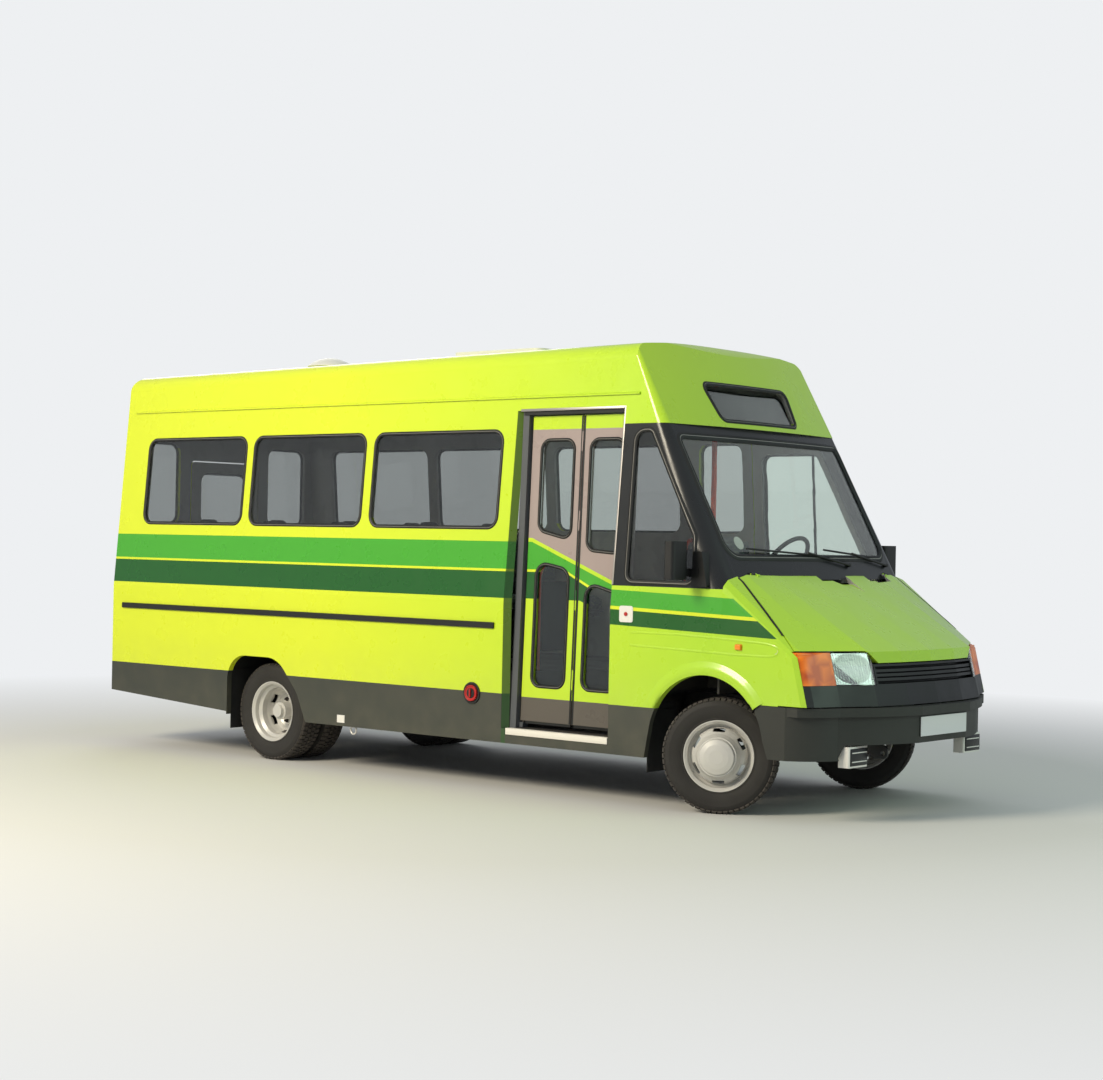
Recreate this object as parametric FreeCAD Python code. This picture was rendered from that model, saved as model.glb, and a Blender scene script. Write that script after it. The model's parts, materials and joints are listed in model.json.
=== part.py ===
import FreeCAD, Part
import math
import os

V = FreeCAD.Vector

# A 16-seat coach-built minibus: moulded body on a twin-rear-wheel van chassis.
# Millimetres. +X runs to the nose, +Y to the vehicle's left, +Z up.
# The origin is on the ground, under the middle of the length and width.
# The front wheels stand turned to the left, as parked.

# Overall and chassis
LENGTH = 6360.0
HALF_WIDTH = 1015.0
WHEELBASE = 3647.0
FRONT_OVERHANG = 1023.0
FRONT_AXLE_X = LENGTH / 2 - FRONT_OVERHANG
REAR_AXLE_X = FRONT_AXLE_X - WHEELBASE
# The cab is set out from the scuttle line, at the foot of the windscreen
NOSE_LENGTH = 920.0
SCUTTLE_X = LENGTH / 2 - NOSE_LENGTH
REAR_BUMPER_PROUD = 40.0
BODY_REAR_X = -LENGTH / 2 + REAR_BUMPER_PROUD

# Body heights and wall
SKIRT_Z = 290.0
SKIRT_REAR_Z = 385.0
WAIST_Z = 1150.0
GUTTER_Z = 2408.0
TUMBLEHOME = 0.087
WALL = 40.0
CAB_WALL = 35.0
ROOF_SKIN = 30.0
SHOULDER_FRONT_Z = GUTTER_Z + 314
SHOULDER_REAR_Z = GUTTER_Z + 267
ROOF_CROWN = 36.0
SHOULDER_Y = 790.0
COVE_HEIGHT = 110.0
REAR_ROUND = 150.0
FLOOR_Z = 720.0
FLOOR_SLAB = 40.0
SHEET = 15.0
PANEL_GAP = 8.0
SEAT_GAP = 0.3

# Side windows: distance of the rear edge from the body's rear face, and width
WINDOW_Z = (1606.0, 2212.0)
WINDOW_RADIUS = 75.0
SIDE_WINDOWS = ((279.0, 1057.0), (1420.0, 1088.0), (2595.0, 1115.0))
LEFT_EXTRA_WINDOW = (3880.0, 360.0)
GLASS = 6.0
GLASS_DEPTH = 8.0

# Entrance on the right
DOORWAY_BACK = 1553.0
DOORWAY_WIDTH = 805.0
DOORWAY_X0 = SCUTTLE_X - DOORWAY_BACK
DOORWAY_X1 = DOORWAY_X0 + DOORWAY_WIDTH
DOORWAY_TOP_Z = 2332.0
JAMB_SPLAY = 34.0
STEP_Z = 380.0
STEP2_Z = 560.0
STEP_DEPTH = 500.0
STEP2_DEPTH = 250.0
NOSING = 38.0

# Folding leaves, in their own upright frame before the lean is applied
LEAF_LEAN = 0.039
LEAF_Y = -945.0
LEAF_BOTTOM_Z = 432.0
LEAF_TOP_Z = 2298.0
LEAF_WIDTH = 397.0
LEAF_THICK = 35.0
LEAF_GAP = 6.0
LEAF_X0 = DOORWAY_X0 + 64.0
LEAF_OPEN_DEG = 85.0

# Nose and windscreen
CAB_X = DOORWAY_X1
CAB_BASE_Z = 1280.0
DOME_BASE_Z = 2235.0
SCREEN_Z = (1462.0, 2164.0)
SCREEN_BOTTOM_AHEAD = -23.0
SCREEN_EDGE_Y = 857.0
SCREEN_BOW = 55.0
SCREEN_SLOPE = 0.543
DOME_AHEAD = -438.0
DOME_BOW = 72.0
DOME_SLOPE = 0.557
BREAK_Z = 950.0
NOSE_LEAN = 0.25
NOSE_SKIN = 30.0
COWL_X = SCUTTLE_X + 51.0
# |y|, height of the surface above COWL_X, distance of the front break ahead of the axle
NOSE_STATIONS = (
    (0.0, 1392.0, 798.0),
    (300.0, 1388.0, 785.0),
    (576.0, 1379.0, 743.0),
    (790.0, 1370.0, 633.0),
    (960.0, 1332.0, 575.0),
    (1000.0, 1300.0, 552.0),
    (1015.0, 1268.0, 525.0),
)
LAMP_INNER_Y = 560.0
LAMP_SPLIT_Y = 790.0
LAMP_OUTER_Y = 1000.0
LAMP_BOTTOM_Z = 768.0
LAMP_DEPTH = 90.0
LAMP_BACK_X = SCUTTLE_X + 440
GRILLE_HALF = 552.0
GRILLE_TOP_Z = 885.0
VALANCE_BOTTOM_Z = 652.0
SLAT_COUNT = 3
SLAT_HEIGHT = 16.0

# Front bumper, in plan: distance ahead of the axle and |y|
BUMPER_TOP_Z = 645.0
BUMPER_BOTTOM_Z = 352.0
BUMPER_SKIN = 40.0
AIR_HALF = 790.0
AIR_TOP_Z = 437.0
BUMPER_LIP = 25.0
BUMPER_LIP_Z = 595.0
BUMPER_NOSE = NOSE_LENGTH - BUMPER_LIP
BUMPER_PLAN = ((BUMPER_NOSE, 270.0), (815.0, 540.0), (685.0, 785.0), (600.0, 940.0), (490.0, 1018.0))

# Wheels
TYRE_RADIUS = 330.0
TYRE_WIDTH = 185.0
RIM_RADIUS = 190.0
RIM_FLANGE_RADIUS = 204.0
TRACK_FRONT = 1705.0
TWIN_OUTER_Y = 852.5
TWIN_INNER_Y = 637.5
KINGPIN_Y = 740.0
KINGPIN_RADIUS = 16.0
KINGPIN_CLEAR = 0.05
STEER_REST_DEG = 24.9
ARCH_RADIUS = 400.0
ARCH_X = FRONT_AXLE_X + 48.0
ARCH_Z = 392.0
ARCH_LIP = 9.0
ARCH_LIP_WIDTH = 48.0

# Chassis
RAIL_Y = 450.0
RAIL_WIDTH = 60.0
RAIL_DEPTH = 130.0
RAIL_HIGH_Z = 650.0
RAIL_LOW_Z = 530.0
RAIL_WEB = 6.0
RAIL_FRONT_X = SCUTTLE_X + 640
RAIL_REAR_X = BODY_REAR_X + WALL + 5
RAIL_DROP_REAR = REAR_AXLE_X + 760
RAIL_DROP_FRONT = DOORWAY_X1 + 126
RAIL_KICK = 70.0
AXLE_TUBE_RADIUS = 45.0
SPRING_WIDTH = 60.0
EYE_RADIUS = 14.0
EYE_PLATE = 16.0

# Cab door on the left: distance from the front axle and height of each corner
CAB_DOOR = (
    (-1072.0, 608.0), (-490.0, 608.0), (-465.0, 690.0), (-385.0, 800.0), (-265.0, 862.0),
    (-118.0, 880.0), (-118.0, 1290.0), (-570.0, 2205.0), (-1072.0, 2205.0),
)
CAB_DOOR_THICK = 45.0
CAB_DOOR_GAP = 10.0
CAB_GLASS = ((-1000.0, 1340.0), (-185.0, 1340.0), (-575.0, 2135.0), (-1000.0, 2135.0))

# Mirrors: where the base begins and ends, and its top; the head's inner and outer edge
MIRROR_BASE = {-1: (SCUTTLE_X - 155, SCUTTLE_X - 45, 1490), 1: (SCUTTLE_X - 210, SCUTTLE_X - 130, 1390)}
MIRROR_HEAD_Y = (1066.0, 1227.0)

# Rear door
REAR_DOOR_HALF = 330.0
REAR_DOOR_Z = (745.0, 2080.0)
REAR_DOOR_GAP = 10.0
REAR_GLASS_HALF = 235.0
REAR_SIDE_GLASS = (440.0, 830.0)

# Seats: distance of each row's back from the body's rear face
SEAT_ROWS = (300.0, 1060.0, 1820.0, 2580.0)
AISLE_HALF = 185.0
SEAT_SPAN = 740.0
SEAT_TOP_Z = FLOOR_Z + 430.0
SEAT_LENGTH = 420.0
SEAT_PAD = 90.0
BACK_HEIGHT = 430.0
BACK_PAD = 75.0
BACK_TILT_DEG = 8.0
PAN_DEPTH = 25.0
BOARD = 14.0

# Places worked out from the sizes
BONNET_HINGE = (COWL_X + 8, 1366.0)
HINGE_EYE = (712.0, 748.0)
HINGE_PIN = 5.0
COWL_GAP = 20.0
# Intake mouths at the bonnet's rear edge: low y, high y, y of the tip of the tapering hollow
INTAKES = ((-138.0, 188.0, 159.0), (413.0, 690.0, 627.0))
INTAKE_TIP = (SCUTTLE_X + 300, 1247.0)
FILLER = (SCUTTLE_X - 1830, 580.0)
FILLER_RADIUS = 45.0
LEAF_HINGE_X = LEAF_X0 - 6
LEAF_HINGE_Y = LEAF_Y + LEAF_THICK
SEAM_X = LEAF_X0 + LEAF_WIDTH + LEAF_GAP / 2
SEAM_Y = LEAF_Y - 4
PIVOT_RADIUS = 8.0
BARREL_RADIUS = 4.5
# Leaf windows: offsets from the leaf's seam edge to the near and far side, and the corner heights
UPPER_WINDOW = {"near": 62.0, "far": 318.0, "top": 2150.0, "seam_low": 1545.0, "edge_low": 1600.0}
LOWER_WINDOW = {"near": 66.0, "far": 322.0, "low": 648.0}
# Top of the lower windows at the near and the far side, for the rear leaf (-1) and the front leaf (1)
LOWER_TOPS = {-1: (1360.0, 1405.0), 1: (1290.0, 1225.0)}
CAB_DOOR_HINGE = (SCUTTLE_X - 118 + CAB_DOOR_GAP / 2, HALF_WIDTH - 4)
REAR_DOOR_HINGE = (BODY_REAR_X + 2, REAR_DOOR_HALF + REAR_DOOR_GAP / 2)
DRIVER_SEAT = (SCUTTLE_X - 950, 460.0)
# Inner faces: side walls, cab door, wheel boxes, footwell and bulkhead
LINED = HALF_WIDTH - WALL - SEAT_GAP
CAB_LINED = HALF_WIDTH - CAB_DOOR_THICK - 10
WHEEL_BOX_X = (REAR_AXLE_X - 410, REAR_AXLE_X + 410)
WHEEL_BOX_Y = TWIN_INNER_Y - TYRE_WIDTH / 2 - 45
FOOTWELL_X = SCUTTLE_X - 390
FOOTWELL_Y = 520.0
BULKHEAD_X = SCUTTLE_X - 60
WHEEL_CENTRE = (SCUTTLE_X - 455, 370.0, 1420.0)
COLUMN_DIR = (0.82, 0.0, -0.572)
COLUMN_RADIUS = 30.0
STEERING_WHEEL_RADIUS = 195.0
RAIL_END = 60.0
CROSS_DEPTH = 45.0
RAIL_UNDER_Z = RAIL_HIGH_Z - RAIL_DEPTH - SEAT_GAP
EYES = ((SCUTTLE_X + 775, 380.0), (BODY_REAR_X - 8, 347.0))
FRONT_EYE_PLATE = (
    (RAIL_FRONT_X - 50, RAIL_UNDER_Z, 0), (RAIL_FRONT_X - 50, 470, 0), (EYES[0][0] - 60, 350, 30),
    (EYES[0][0] + 30, 350, 28), (EYES[0][0] + 30, 412, 28), (RAIL_FRONT_X - 2, 500, 0),
    (RAIL_FRONT_X - 2, RAIL_UNDER_Z, 0),
)
REAR_EYE_PLATE = (
    (RAIL_REAR_X + 90, RAIL_UNDER_Z, 0), (RAIL_REAR_X + 90, 460, 0), (EYES[1][0] + 50, 317, 20),
    (EYES[1][0] - 28, 317, 25), (EYES[1][0] - 28, 377, 25), (RAIL_REAR_X + 3, 377, 0),
    (RAIL_REAR_X + 3, RAIL_UNDER_Z, 0),
)
CROSS_MEMBERS = (
    (RAIL_REAR_X + RAIL_END + 5, RAIL_HIGH_Z), (REAR_AXLE_X - 640, RAIL_HIGH_Z),
    (REAR_AXLE_X + 420, RAIL_HIGH_Z),
    (REAR_AXLE_X + 860, RAIL_LOW_Z), (SCUTTLE_X - 1760, RAIL_LOW_Z),
)
BEARERS = (
    (BODY_REAR_X + 420, RAIL_HIGH_Z), (REAR_AXLE_X - 520, RAIL_HIGH_Z), (REAR_AXLE_X + 460, RAIL_HIGH_Z),
    (REAR_AXLE_X + 1200, RAIL_LOW_Z), (SCUTTLE_X - 500, RAIL_HIGH_Z),
)
HUB_FACE_Y = 600.0
RIM_SLOTS = 6
HUB_RADIUS = 60.0
FRONT_CROWN = 132.0
HUB_DOME = 26.0
DRUM_REACH = 92.0
SPINDLE_RADIUS = 32.0
SPINDLE_REACH = 60.0


PLANE_POINT = {
    "xz": lambda a, b, at: V(a, at, b),
    "yz": lambda a, b, at: V(at, a, b),
    "xy": lambda a, b, at: V(a, b, at),
}
PLANE_NORMAL = {"xz": V(0, 1, 0), "yz": V(1, 0, 0), "xy": V(0, 0, 1)}


def box(x, y, z):
    """Block between pairs of limits."""
    size = (abs(x[1] - x[0]), abs(y[1] - y[0]), abs(z[1] - z[0]))
    return Part.makeBox(*size, V(min(x), min(y), min(z)))


def rounded_wire(points, plane, at=0.0, radius=0.0):
    """Closed wire through flat points; each corner is rounded by radius or its own third value."""
    place = PLANE_POINT[plane]
    corners = []
    count = len(points)
    for i in range(count):
        here = place(points[i][0], points[i][1], at)
        back = place(points[i - 1][0], points[i - 1][1], at) - here
        ahead = place(points[(i + 1) % count][0], points[(i + 1) % count][1], at) - here
        round_by = points[i][2] if len(points[i]) > 2 else radius
        if round_by <= 0:
            corners.append((here, None, here))
            continue
        back.normalize()
        ahead.normalize()
        half = back.getAngle(ahead) / 2
        cut = round_by / math.tan(half)
        inward = back + ahead
        inward.normalize()
        middle = here + inward * (round_by / math.sin(half) - round_by)
        corners.append((here + back * cut, middle, here + ahead * cut))
    edges = []
    for i, (start, middle, end) in enumerate(corners):
        if middle is not None:
            edges.append(Part.Arc(start, middle, end).toShape())
        following = corners[(i + 1) % count][0]
        if end.distanceToPoint(following) > 1e-6:
            edges.append(Part.LineSegment(end, following).toShape())
    return Part.Wire(edges)


def spread(points, gap):
    """Outline moved outwards by a gap, with sharp corners."""
    count = len(points)
    area = sum(points[i - 1][0] * points[i][1] - points[i][0] * points[i - 1][1] for i in range(count))
    turn = 1 if area > 0 else -1
    lines = []
    for i in range(count):
        (a, b), (c, d) = points[i], points[(i + 1) % count]
        length = math.hypot(c - a, d - b)
        normal = (turn * (d - b) / length, -turn * (c - a) / length)
        lines.append((normal, normal[0] * a + normal[1] * b + gap))
    moved = []
    for i in range(count):
        (n1, c1), (n2, c2) = lines[i - 1], lines[i]
        cross = n1[0] * n2[1] - n1[1] * n2[0]
        moved.append(((c1 * n2[1] - c2 * n1[1]) / cross, (n1[0] * c2 - n2[0] * c1) / cross))
    return moved


def prism(points, plane, span, radius=0.0, grow=0.0):
    """Flat outline pushed through a span along its plane's normal."""
    low, high = min(span), max(span)
    wire = rounded_wire(points, plane, low, radius)
    if grow:
        wire = wire.makeOffset2D(grow)
    return Part.Face(wire).extrude(PLANE_NORMAL[plane] * (high - low))


def loft(wires):
    return Part.makeLoft(wires, True, True)


def rod(start, end, radius):
    """Round bar between two points."""
    along = V(*end) - V(*start)
    return Part.makeCylinder(radius, along.Length, V(*start), along)


def bent_rod(points, radius, bend):
    """Round bar along straight runs joined by arcs of one bend radius."""
    route = [V(*p) for p in points]
    edges = []
    last = route[0]
    for i in range(1, len(route) - 1):
        back = route[i - 1] - route[i]
        ahead = route[i + 1] - route[i]
        back.normalize()
        ahead.normalize()
        half = back.getAngle(ahead) / 2
        cut = bend / math.tan(half)
        inward = back + ahead
        inward.normalize()
        middle = route[i] + inward * (bend / math.sin(half) - bend)
        enter = route[i] + back * cut
        leave = route[i] + ahead * cut
        edges.append(Part.LineSegment(last, enter).toShape())
        edges.append(Part.Arc(enter, middle, leave).toShape())
        last = leave
    edges.append(Part.LineSegment(last, route[-1]).toShape())
    path = Part.Wire(edges)
    ring = Part.Wire(Part.makeCircle(radius, route[0], route[1] - route[0]))
    return path.makePipeShell([ring], True, False)


def revolve_x(profile, centre):
    """Turn a closed (along, radius) profile about a line parallel to Y through centre."""
    points = [V(centre[0], centre[1] + along, centre[2] + radius) for along, radius in profile]
    wire = Part.makePolygon(points + points[:1])
    return Part.Face(wire).revolve(V(*centre), V(0, 1, 0), 360)


def mirrored(shape):
    return shape.mirror(V(0, 0, 0), V(0, 1, 0))


def pair(shape):
    """The shape and its mirror image on the other side."""
    return Part.Compound([shape, mirrored(shape)])


def join(first, *others):
    shape = first
    for other in others:
        shape = shape.fuse(other)
    return shape.removeSplitter()


def side_y(z):
    """Half-width of the body's outer face at a height."""
    return HALF_WIDTH - max(0.0, z - WAIST_Z) * TUMBLEHOME


def side_slab(side, x, z, depth=0.0, thick=WALL):
    """Piece of the side wall between two depths below the outer face; side is -1 right, 1 left."""
    heights = [z[0]] + ([WAIST_Z] if z[0] < WAIST_Z < z[1] else []) + [z[1]]
    outer = [(side * (side_y(h) - depth), h) for h in heights]
    inner = [(side * (side_y(h) - depth - thick), h) for h in reversed(heights)]
    return prism(outer + inner, "yz", x)


def window_points(x, z):
    return [(x[0], z[0]), (x[1], z[0]), (x[1], z[1]), (x[0], z[1])]


def side_span(side):
    """Y limits that pass right through one side wall."""
    return (side * (HALF_WIDTH - 260), side * (HALF_WIDTH + 60))


def cab_section(z, inset=0.0, back=CAB_X):
    """Plan outline of the cab at a height: straight sides, round corners, bowed screen."""
    width = side_y(z) - inset
    edge_y = SCREEN_EDGE_Y - inset
    edge_x = SCUTTLE_X + SCREEN_BOTTOM_AHEAD - SCREEN_SLOPE * (z - SCREEN_Z[0]) - inset
    return bowed_section(z, width, edge_x, edge_y, SCREEN_BOW, back)


def dome_section(z, inset=0.0, back=CAB_X):
    width = side_y(z) - inset
    edge_y = SCREEN_EDGE_Y - inset
    edge_x = SCUTTLE_X + DOME_AHEAD - DOME_SLOPE * (z - DOME_BASE_Z) - inset
    return bowed_section(z, width, edge_x, edge_y, DOME_BOW, back)


def bowed_section(z, width, edge_x, edge_y, bow, back):
    corner = width - edge_y
    turn = corner * (1 - math.sqrt(0.5))
    start = edge_x - corner
    points = {
        "right": V(start, -width, z), "right_mid": V(edge_x - turn, -width + turn, z),
        "right_end": V(edge_x, -edge_y, z), "front": V(edge_x + bow, 0, z),
        "left_end": V(edge_x, edge_y, z), "left_mid": V(edge_x - turn, width - turn, z),
        "left": V(start, width, z),
    }
    return Part.Wire([
        Part.LineSegment(V(back, -width, z), points["right"]).toShape(),
        Part.Arc(points["right"], points["right_mid"], points["right_end"]).toShape(),
        Part.Arc(points["right_end"], points["front"], points["left_end"]).toShape(),
        Part.Arc(points["left_end"], points["left_mid"], points["left"]).toShape(),
        Part.LineSegment(points["left"], V(back, width, z)).toShape(),
        Part.LineSegment(V(back, width, z), V(back, -width, z)).toShape(),
    ])


def cab_form(inset=0.0, z=(CAB_BASE_Z, DOME_BASE_Z), back=CAB_X):
    return loft([cab_section(z[0], inset, back), cab_section(z[1], inset, back)])


def roof_wire(x, shoulder_z, inset=0.0, base_z=GUTTER_Z):
    """Half-round roof outline at one station: leaning cove, tight shoulder, shallow crown."""
    cove_z = shoulder_z - COVE_HEIGHT
    base = V(x, side_y(base_z) - inset, base_z)
    cove = V(x, side_y(cove_z) - inset, cove_z)
    bend = V(x, (side_y(cove_z) * 0.7 + SHOULDER_Y * 0.3) - inset * 0.8,
             shoulder_z - COVE_HEIGHT * 0.3 - inset * 0.6)
    shoulder = V(x, SHOULDER_Y - inset * 0.4, shoulder_z - inset)
    crown = V(x, 0, shoulder_z + ROOF_CROWN - inset)

    def over(p):
        return V(p.x, -p.y, p.z)

    return Part.Wire([
        Part.LineSegment(base, cove).toShape(),
        Part.Arc(cove, bend, shoulder).toShape(),
        Part.Arc(shoulder, crown, over(shoulder)).toShape(),
        Part.Arc(over(shoulder), over(bend), over(cove)).toShape(),
        Part.LineSegment(over(cove), over(base)).toShape(),
        Part.LineSegment(over(base), base).toShape(),
    ])


def roof_form(inset=0.0):
    rear = BODY_REAR_X + inset
    form = loft([roof_wire(rear, SHOULDER_REAR_Z, inset), roof_wire(CAB_X, SHOULDER_FRONT_Z, inset)])
    top = SHOULDER_FRONT_Z + ROOF_CROWN + 20
    rear_top = SHOULDER_REAR_Z + ROOF_CROWN - inset + 2
    side = [
        (CAB_X, GUTTER_Z - 1), (CAB_X, top), (CAB_X - 10, top),
        (rear, rear_top, REAR_ROUND), (rear, GUTTER_Z - 1),
    ]
    return form.common(prism(side, "xz", (-HALF_WIDTH, HALF_WIDTH)))


def dome_form(inset=0.0):
    """Destination dome: bowed leaning face, the roof's own shoulders and a rounded brow."""
    top_z = SHOULDER_FRONT_Z + ROOF_CROWN
    face = loft([dome_section(DOME_BASE_Z, inset), dome_section(top_z + 30, inset)])
    hood = Part.Face(roof_wire(CAB_X, SHOULDER_FRONT_Z, inset, DOME_BASE_Z)).extrude(V(700, 0, 0))
    start = V(CAB_X - 60, 0, top_z + 4 - inset)
    middle = V(SCUTTLE_X - 632, 0, top_z - 52 - inset)
    end = V(SCUTTLE_X - 540 - inset, 0, top_z - 190 - inset * 0.5)
    corners = [V(SCUTTLE_X - 300, 0, DOME_BASE_Z - 10), V(CAB_X - 60, 0, DOME_BASE_Z - 10)]
    brow = Part.Wire([
        Part.Arc(start, middle, end).toShape(),
        Part.LineSegment(end, corners[0]).toShape(),
        Part.LineSegment(corners[0], corners[1]).toShape(),
        Part.LineSegment(corners[1], start).toShape(),
    ])
    brow.translate(V(0, -HALF_WIDTH, 0))
    return face.common(hood).common(Part.Face(brow).extrude(V(0, 2 * HALF_WIDTH, 0)))


def nose_form(inset=0.0, bottom_z=VALANCE_BOTTOM_Z):
    """Bonnet, wings and front as one form, ruled between upright sections of the table."""
    wires = []
    sides = [(-y, z, ahead) for y, z, ahead in reversed(NOSE_STATIONS)] + list(NOSE_STATIONS[1:])
    back = COWL_X - 120
    for y, cowl_z, ahead in sides:
        reach = SCUTTLE_X + ahead
        edge_z = BREAK_Z if abs(y) < SCREEN_EDGE_Y else BREAK_Z - (abs(y) - SCREEN_EDGE_Y) * 0.2
        slope = (cowl_z - edge_z) / (reach - COWL_X)
        back_z = cowl_z + slope * (COWL_X - back)
        foot = reach + NOSE_LEAN * (edge_z - bottom_z)
        y_in = math.copysign(max(0.0, abs(y) - inset * (abs(y) / HALF_WIDTH) ** 4), y)
        wires.append(Part.makePolygon([
            V(back, y_in, bottom_z), V(back, y_in, back_z - inset * 1.15),
            V(reach - inset, y_in, edge_z - inset), V(foot - inset, y_in, bottom_z), V(back, y_in, bottom_z),
        ]))
    return loft(wires)


def bonnet_plan(gap):
    """Plan outline of the bonnet opening, grown by a gap on each side."""
    rear_y = SCREEN_EDGE_Y + 4 + gap
    front_y = LAMP_OUTER_Y - 12 + gap
    split_x = SCUTTLE_X + 545
    far = SCUTTLE_X + 1000
    rear = COWL_X - 118
    bend_x = COWL_X + 40
    return [
        (rear, -rear_y), (bend_x, -rear_y), (split_x, -front_y), (far, -front_y),
        (far, front_y), (split_x, front_y), (bend_x, rear_y), (rear, rear_y),
    ]


def front_mask(drop=0.0):
    """Upright outline of lamps, grille and valance, up to the bonnet's front edge."""
    lamp_top = BREAK_Z + 2 - drop
    lip = GRILLE_TOP_Z - drop
    inner = LAMP_INNER_Y + 25
    lip_y = GRILLE_HALF - 44
    wide = LAMP_OUTER_Y + 60
    points = [
        (-wide, 300), (-wide, lamp_top), (-inner, lamp_top), (-lip_y, lip),
        (lip_y, lip), (inner, lamp_top), (wide, lamp_top), (wide, 300),
    ]
    return prism(points, "yz", (SCUTTLE_X + 440, SCUTTLE_X + 1000))


def arch_cutter(side, grow=0.0):
    """Front wheel arch: a round top over legs that splay to the bumper and the sill."""
    centre = ARCH_X
    radius = ARCH_RADIUS + grow
    span = side_span(side)
    low, high = min(span), max(span)
    disc = Part.makeCylinder(radius, high - low, V(centre, low, ARCH_Z), V(0, 1, 0))
    legs = [
        (centre - radius * 1.09, SKIRT_Z - 60), (centre - radius, ARCH_Z + 40),
        (centre + radius * 0.95, ARCH_Z + 100), (centre + radius * 1.19, SKIRT_Z - 60),
    ]
    return disc.fuse(prism(legs, "xz", span))


def rear_arch_cutter(side):
    points = [
        (REAR_AXLE_X - 375, SKIRT_Z - 100, 0), (REAR_AXLE_X - 375, 704, 170),
        (REAR_AXLE_X + 130, 704, 230), (REAR_AXLE_X + 330, 480, 200), (REAR_AXLE_X + 465, SKIRT_Z - 100, 0),
    ]
    return prism(points, "xz", side_span(side))


def rear_slope_cutter():
    """The skirt behind the rear wheels rises towards the tail."""
    points = [
        (BODY_REAR_X - 10, 200), (BODY_REAR_X - 10, SKIRT_REAR_Z),
        (REAR_AXLE_X - 380, SKIRT_Z + 20), (REAR_AXLE_X - 380, 200),
    ]
    return prism(points, "xz", (-HALF_WIDTH - 50, HALF_WIDTH + 50))


def window_spans(side):
    spans = [(BODY_REAR_X + start, BODY_REAR_X + start + width) for start, width in SIDE_WINDOWS]
    if side > 0:
        start, width = LEFT_EXTRA_WINDOW
        spans.append((BODY_REAR_X + start, BODY_REAR_X + start + width))
    return spans


def door_points(gap=0.0):
    """Cab door outline, or with a gap the opening round it."""
    return spread([(SCUTTLE_X + ahead, z) for ahead, z in CAB_DOOR], gap)


def jamb_cutter():
    """Splays the doorway's rear edge, following the wall's lean."""
    sections = []
    for z in (STEP_Z, WAIST_Z, DOORWAY_TOP_Z):
        face = -side_y(z)
        slope = WALL / JAMB_SPLAY
        points = [
            V(DOORWAY_X0 - JAMB_SPLAY - 1, face - slope, z), V(DOORWAY_X0 + 1, face - slope, z),
            V(DOORWAY_X0 + 1, face + WALL + slope, z),
        ]
        sections.append(Part.makePolygon(points + points[:1]))
    return loft(sections[:2]).fuse(loft(sections[1:]))


def make_side_right():
    wall = side_slab(-1, (BODY_REAR_X, DOORWAY_X0), (SKIRT_Z, GUTTER_Z))
    header = side_slab(-1, (DOORWAY_X0, CAB_X), (DOORWAY_TOP_Z, GUTTER_Z))
    sill = side_slab(-1, (DOORWAY_X0, CAB_X), (SKIRT_Z, STEP_Z - NOSING - SEAT_GAP))
    wall = join(wall, header, sill).cut(rear_arch_cutter(-1)).cut(rear_slope_cutter())
    for span in window_spans(-1):
        wall = wall.cut(prism(window_points(span, WINDOW_Z), "xz", side_span(-1), WINDOW_RADIUS))
    filler = rod((FILLER[0], -HALF_WIDTH - 40, FILLER[1]), (FILLER[0], -HALF_WIDTH + 90, FILLER[1]),
                 FILLER_RADIUS + 1)
    return wall.cut(filler).cut(jamb_cutter())


def make_side_left():
    wall = side_slab(1, (BODY_REAR_X, CAB_X), (SKIRT_Z, GUTTER_Z))
    sill = side_slab(1, (CAB_X, ARCH_X), (SKIRT_Z, 598), 0, CAB_WALL)
    wall = join(wall, sill).cut(rear_arch_cutter(1)).cut(rear_slope_cutter()).cut(arch_cutter(1))
    for span in window_spans(1):
        wall = wall.cut(prism(window_points(span, WINDOW_Z), "xz", side_span(1), WINDOW_RADIUS))
    return wall.cut(prism(door_points(CAB_DOOR_GAP), "xz", side_span(1)))


def make_rear_wall():
    inset = WALL
    low_z = SKIRT_REAR_Z
    outline = [
        (-(HALF_WIDTH - inset), low_z), (HALF_WIDTH - inset, low_z), (HALF_WIDTH - inset, WAIST_Z),
        (side_y(GUTTER_Z) - inset, GUTTER_Z), (-(side_y(GUTTER_Z) - inset), GUTTER_Z),
        (-(HALF_WIDTH - inset), WAIST_Z),
    ]
    span = (BODY_REAR_X, BODY_REAR_X + WALL)
    wall = prism(outline, "yz", span)
    wide = REAR_DOOR_HALF + REAR_DOOR_GAP
    door = window_points((-wide, wide), (REAR_DOOR_Z[0] - REAR_DOOR_GAP, REAR_DOOR_Z[1] + REAR_DOOR_GAP))
    wall = wall.cut(prism(door, "yz", span, 40))
    for side in (-1, 1):
        spans = sorted((side * REAR_SIDE_GLASS[0], side * REAR_SIDE_GLASS[1]))
        wall = wall.cut(prism(window_points(spans, WINDOW_Z), "yz", span, WINDOW_RADIUS))
    return wall


def gutter_strip(x):
    """Drip rail along the left side's top edge."""
    y = side_y(GUTTER_Z)
    outline = [(y - 6, GUTTER_Z), (y + 12, GUTTER_Z), (y + 12, GUTTER_Z + 8), (y - 6, GUTTER_Z + 18)]
    return prism(outline, "yz", x)


def make_roof():
    inner = roof_form(ROOF_SKIN)
    shell = roof_form().cut(inner)
    gutter = gutter_strip((BODY_REAR_X + 95, CAB_X))
    low, high = SHOULDER_FRONT_Z - 22, SHOULDER_FRONT_Z + 56
    start, end = SCUTTLE_X - 1376, SCUTTLE_X - 1033
    hump = [(start, low), (end, low), (end - 17, high, 12), (start + 16, high, 12)]
    pod = prism(hump, "xz", (-300, 300)).cut(inner)
    return join(shell, gutter, mirrored(gutter), pod)


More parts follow.
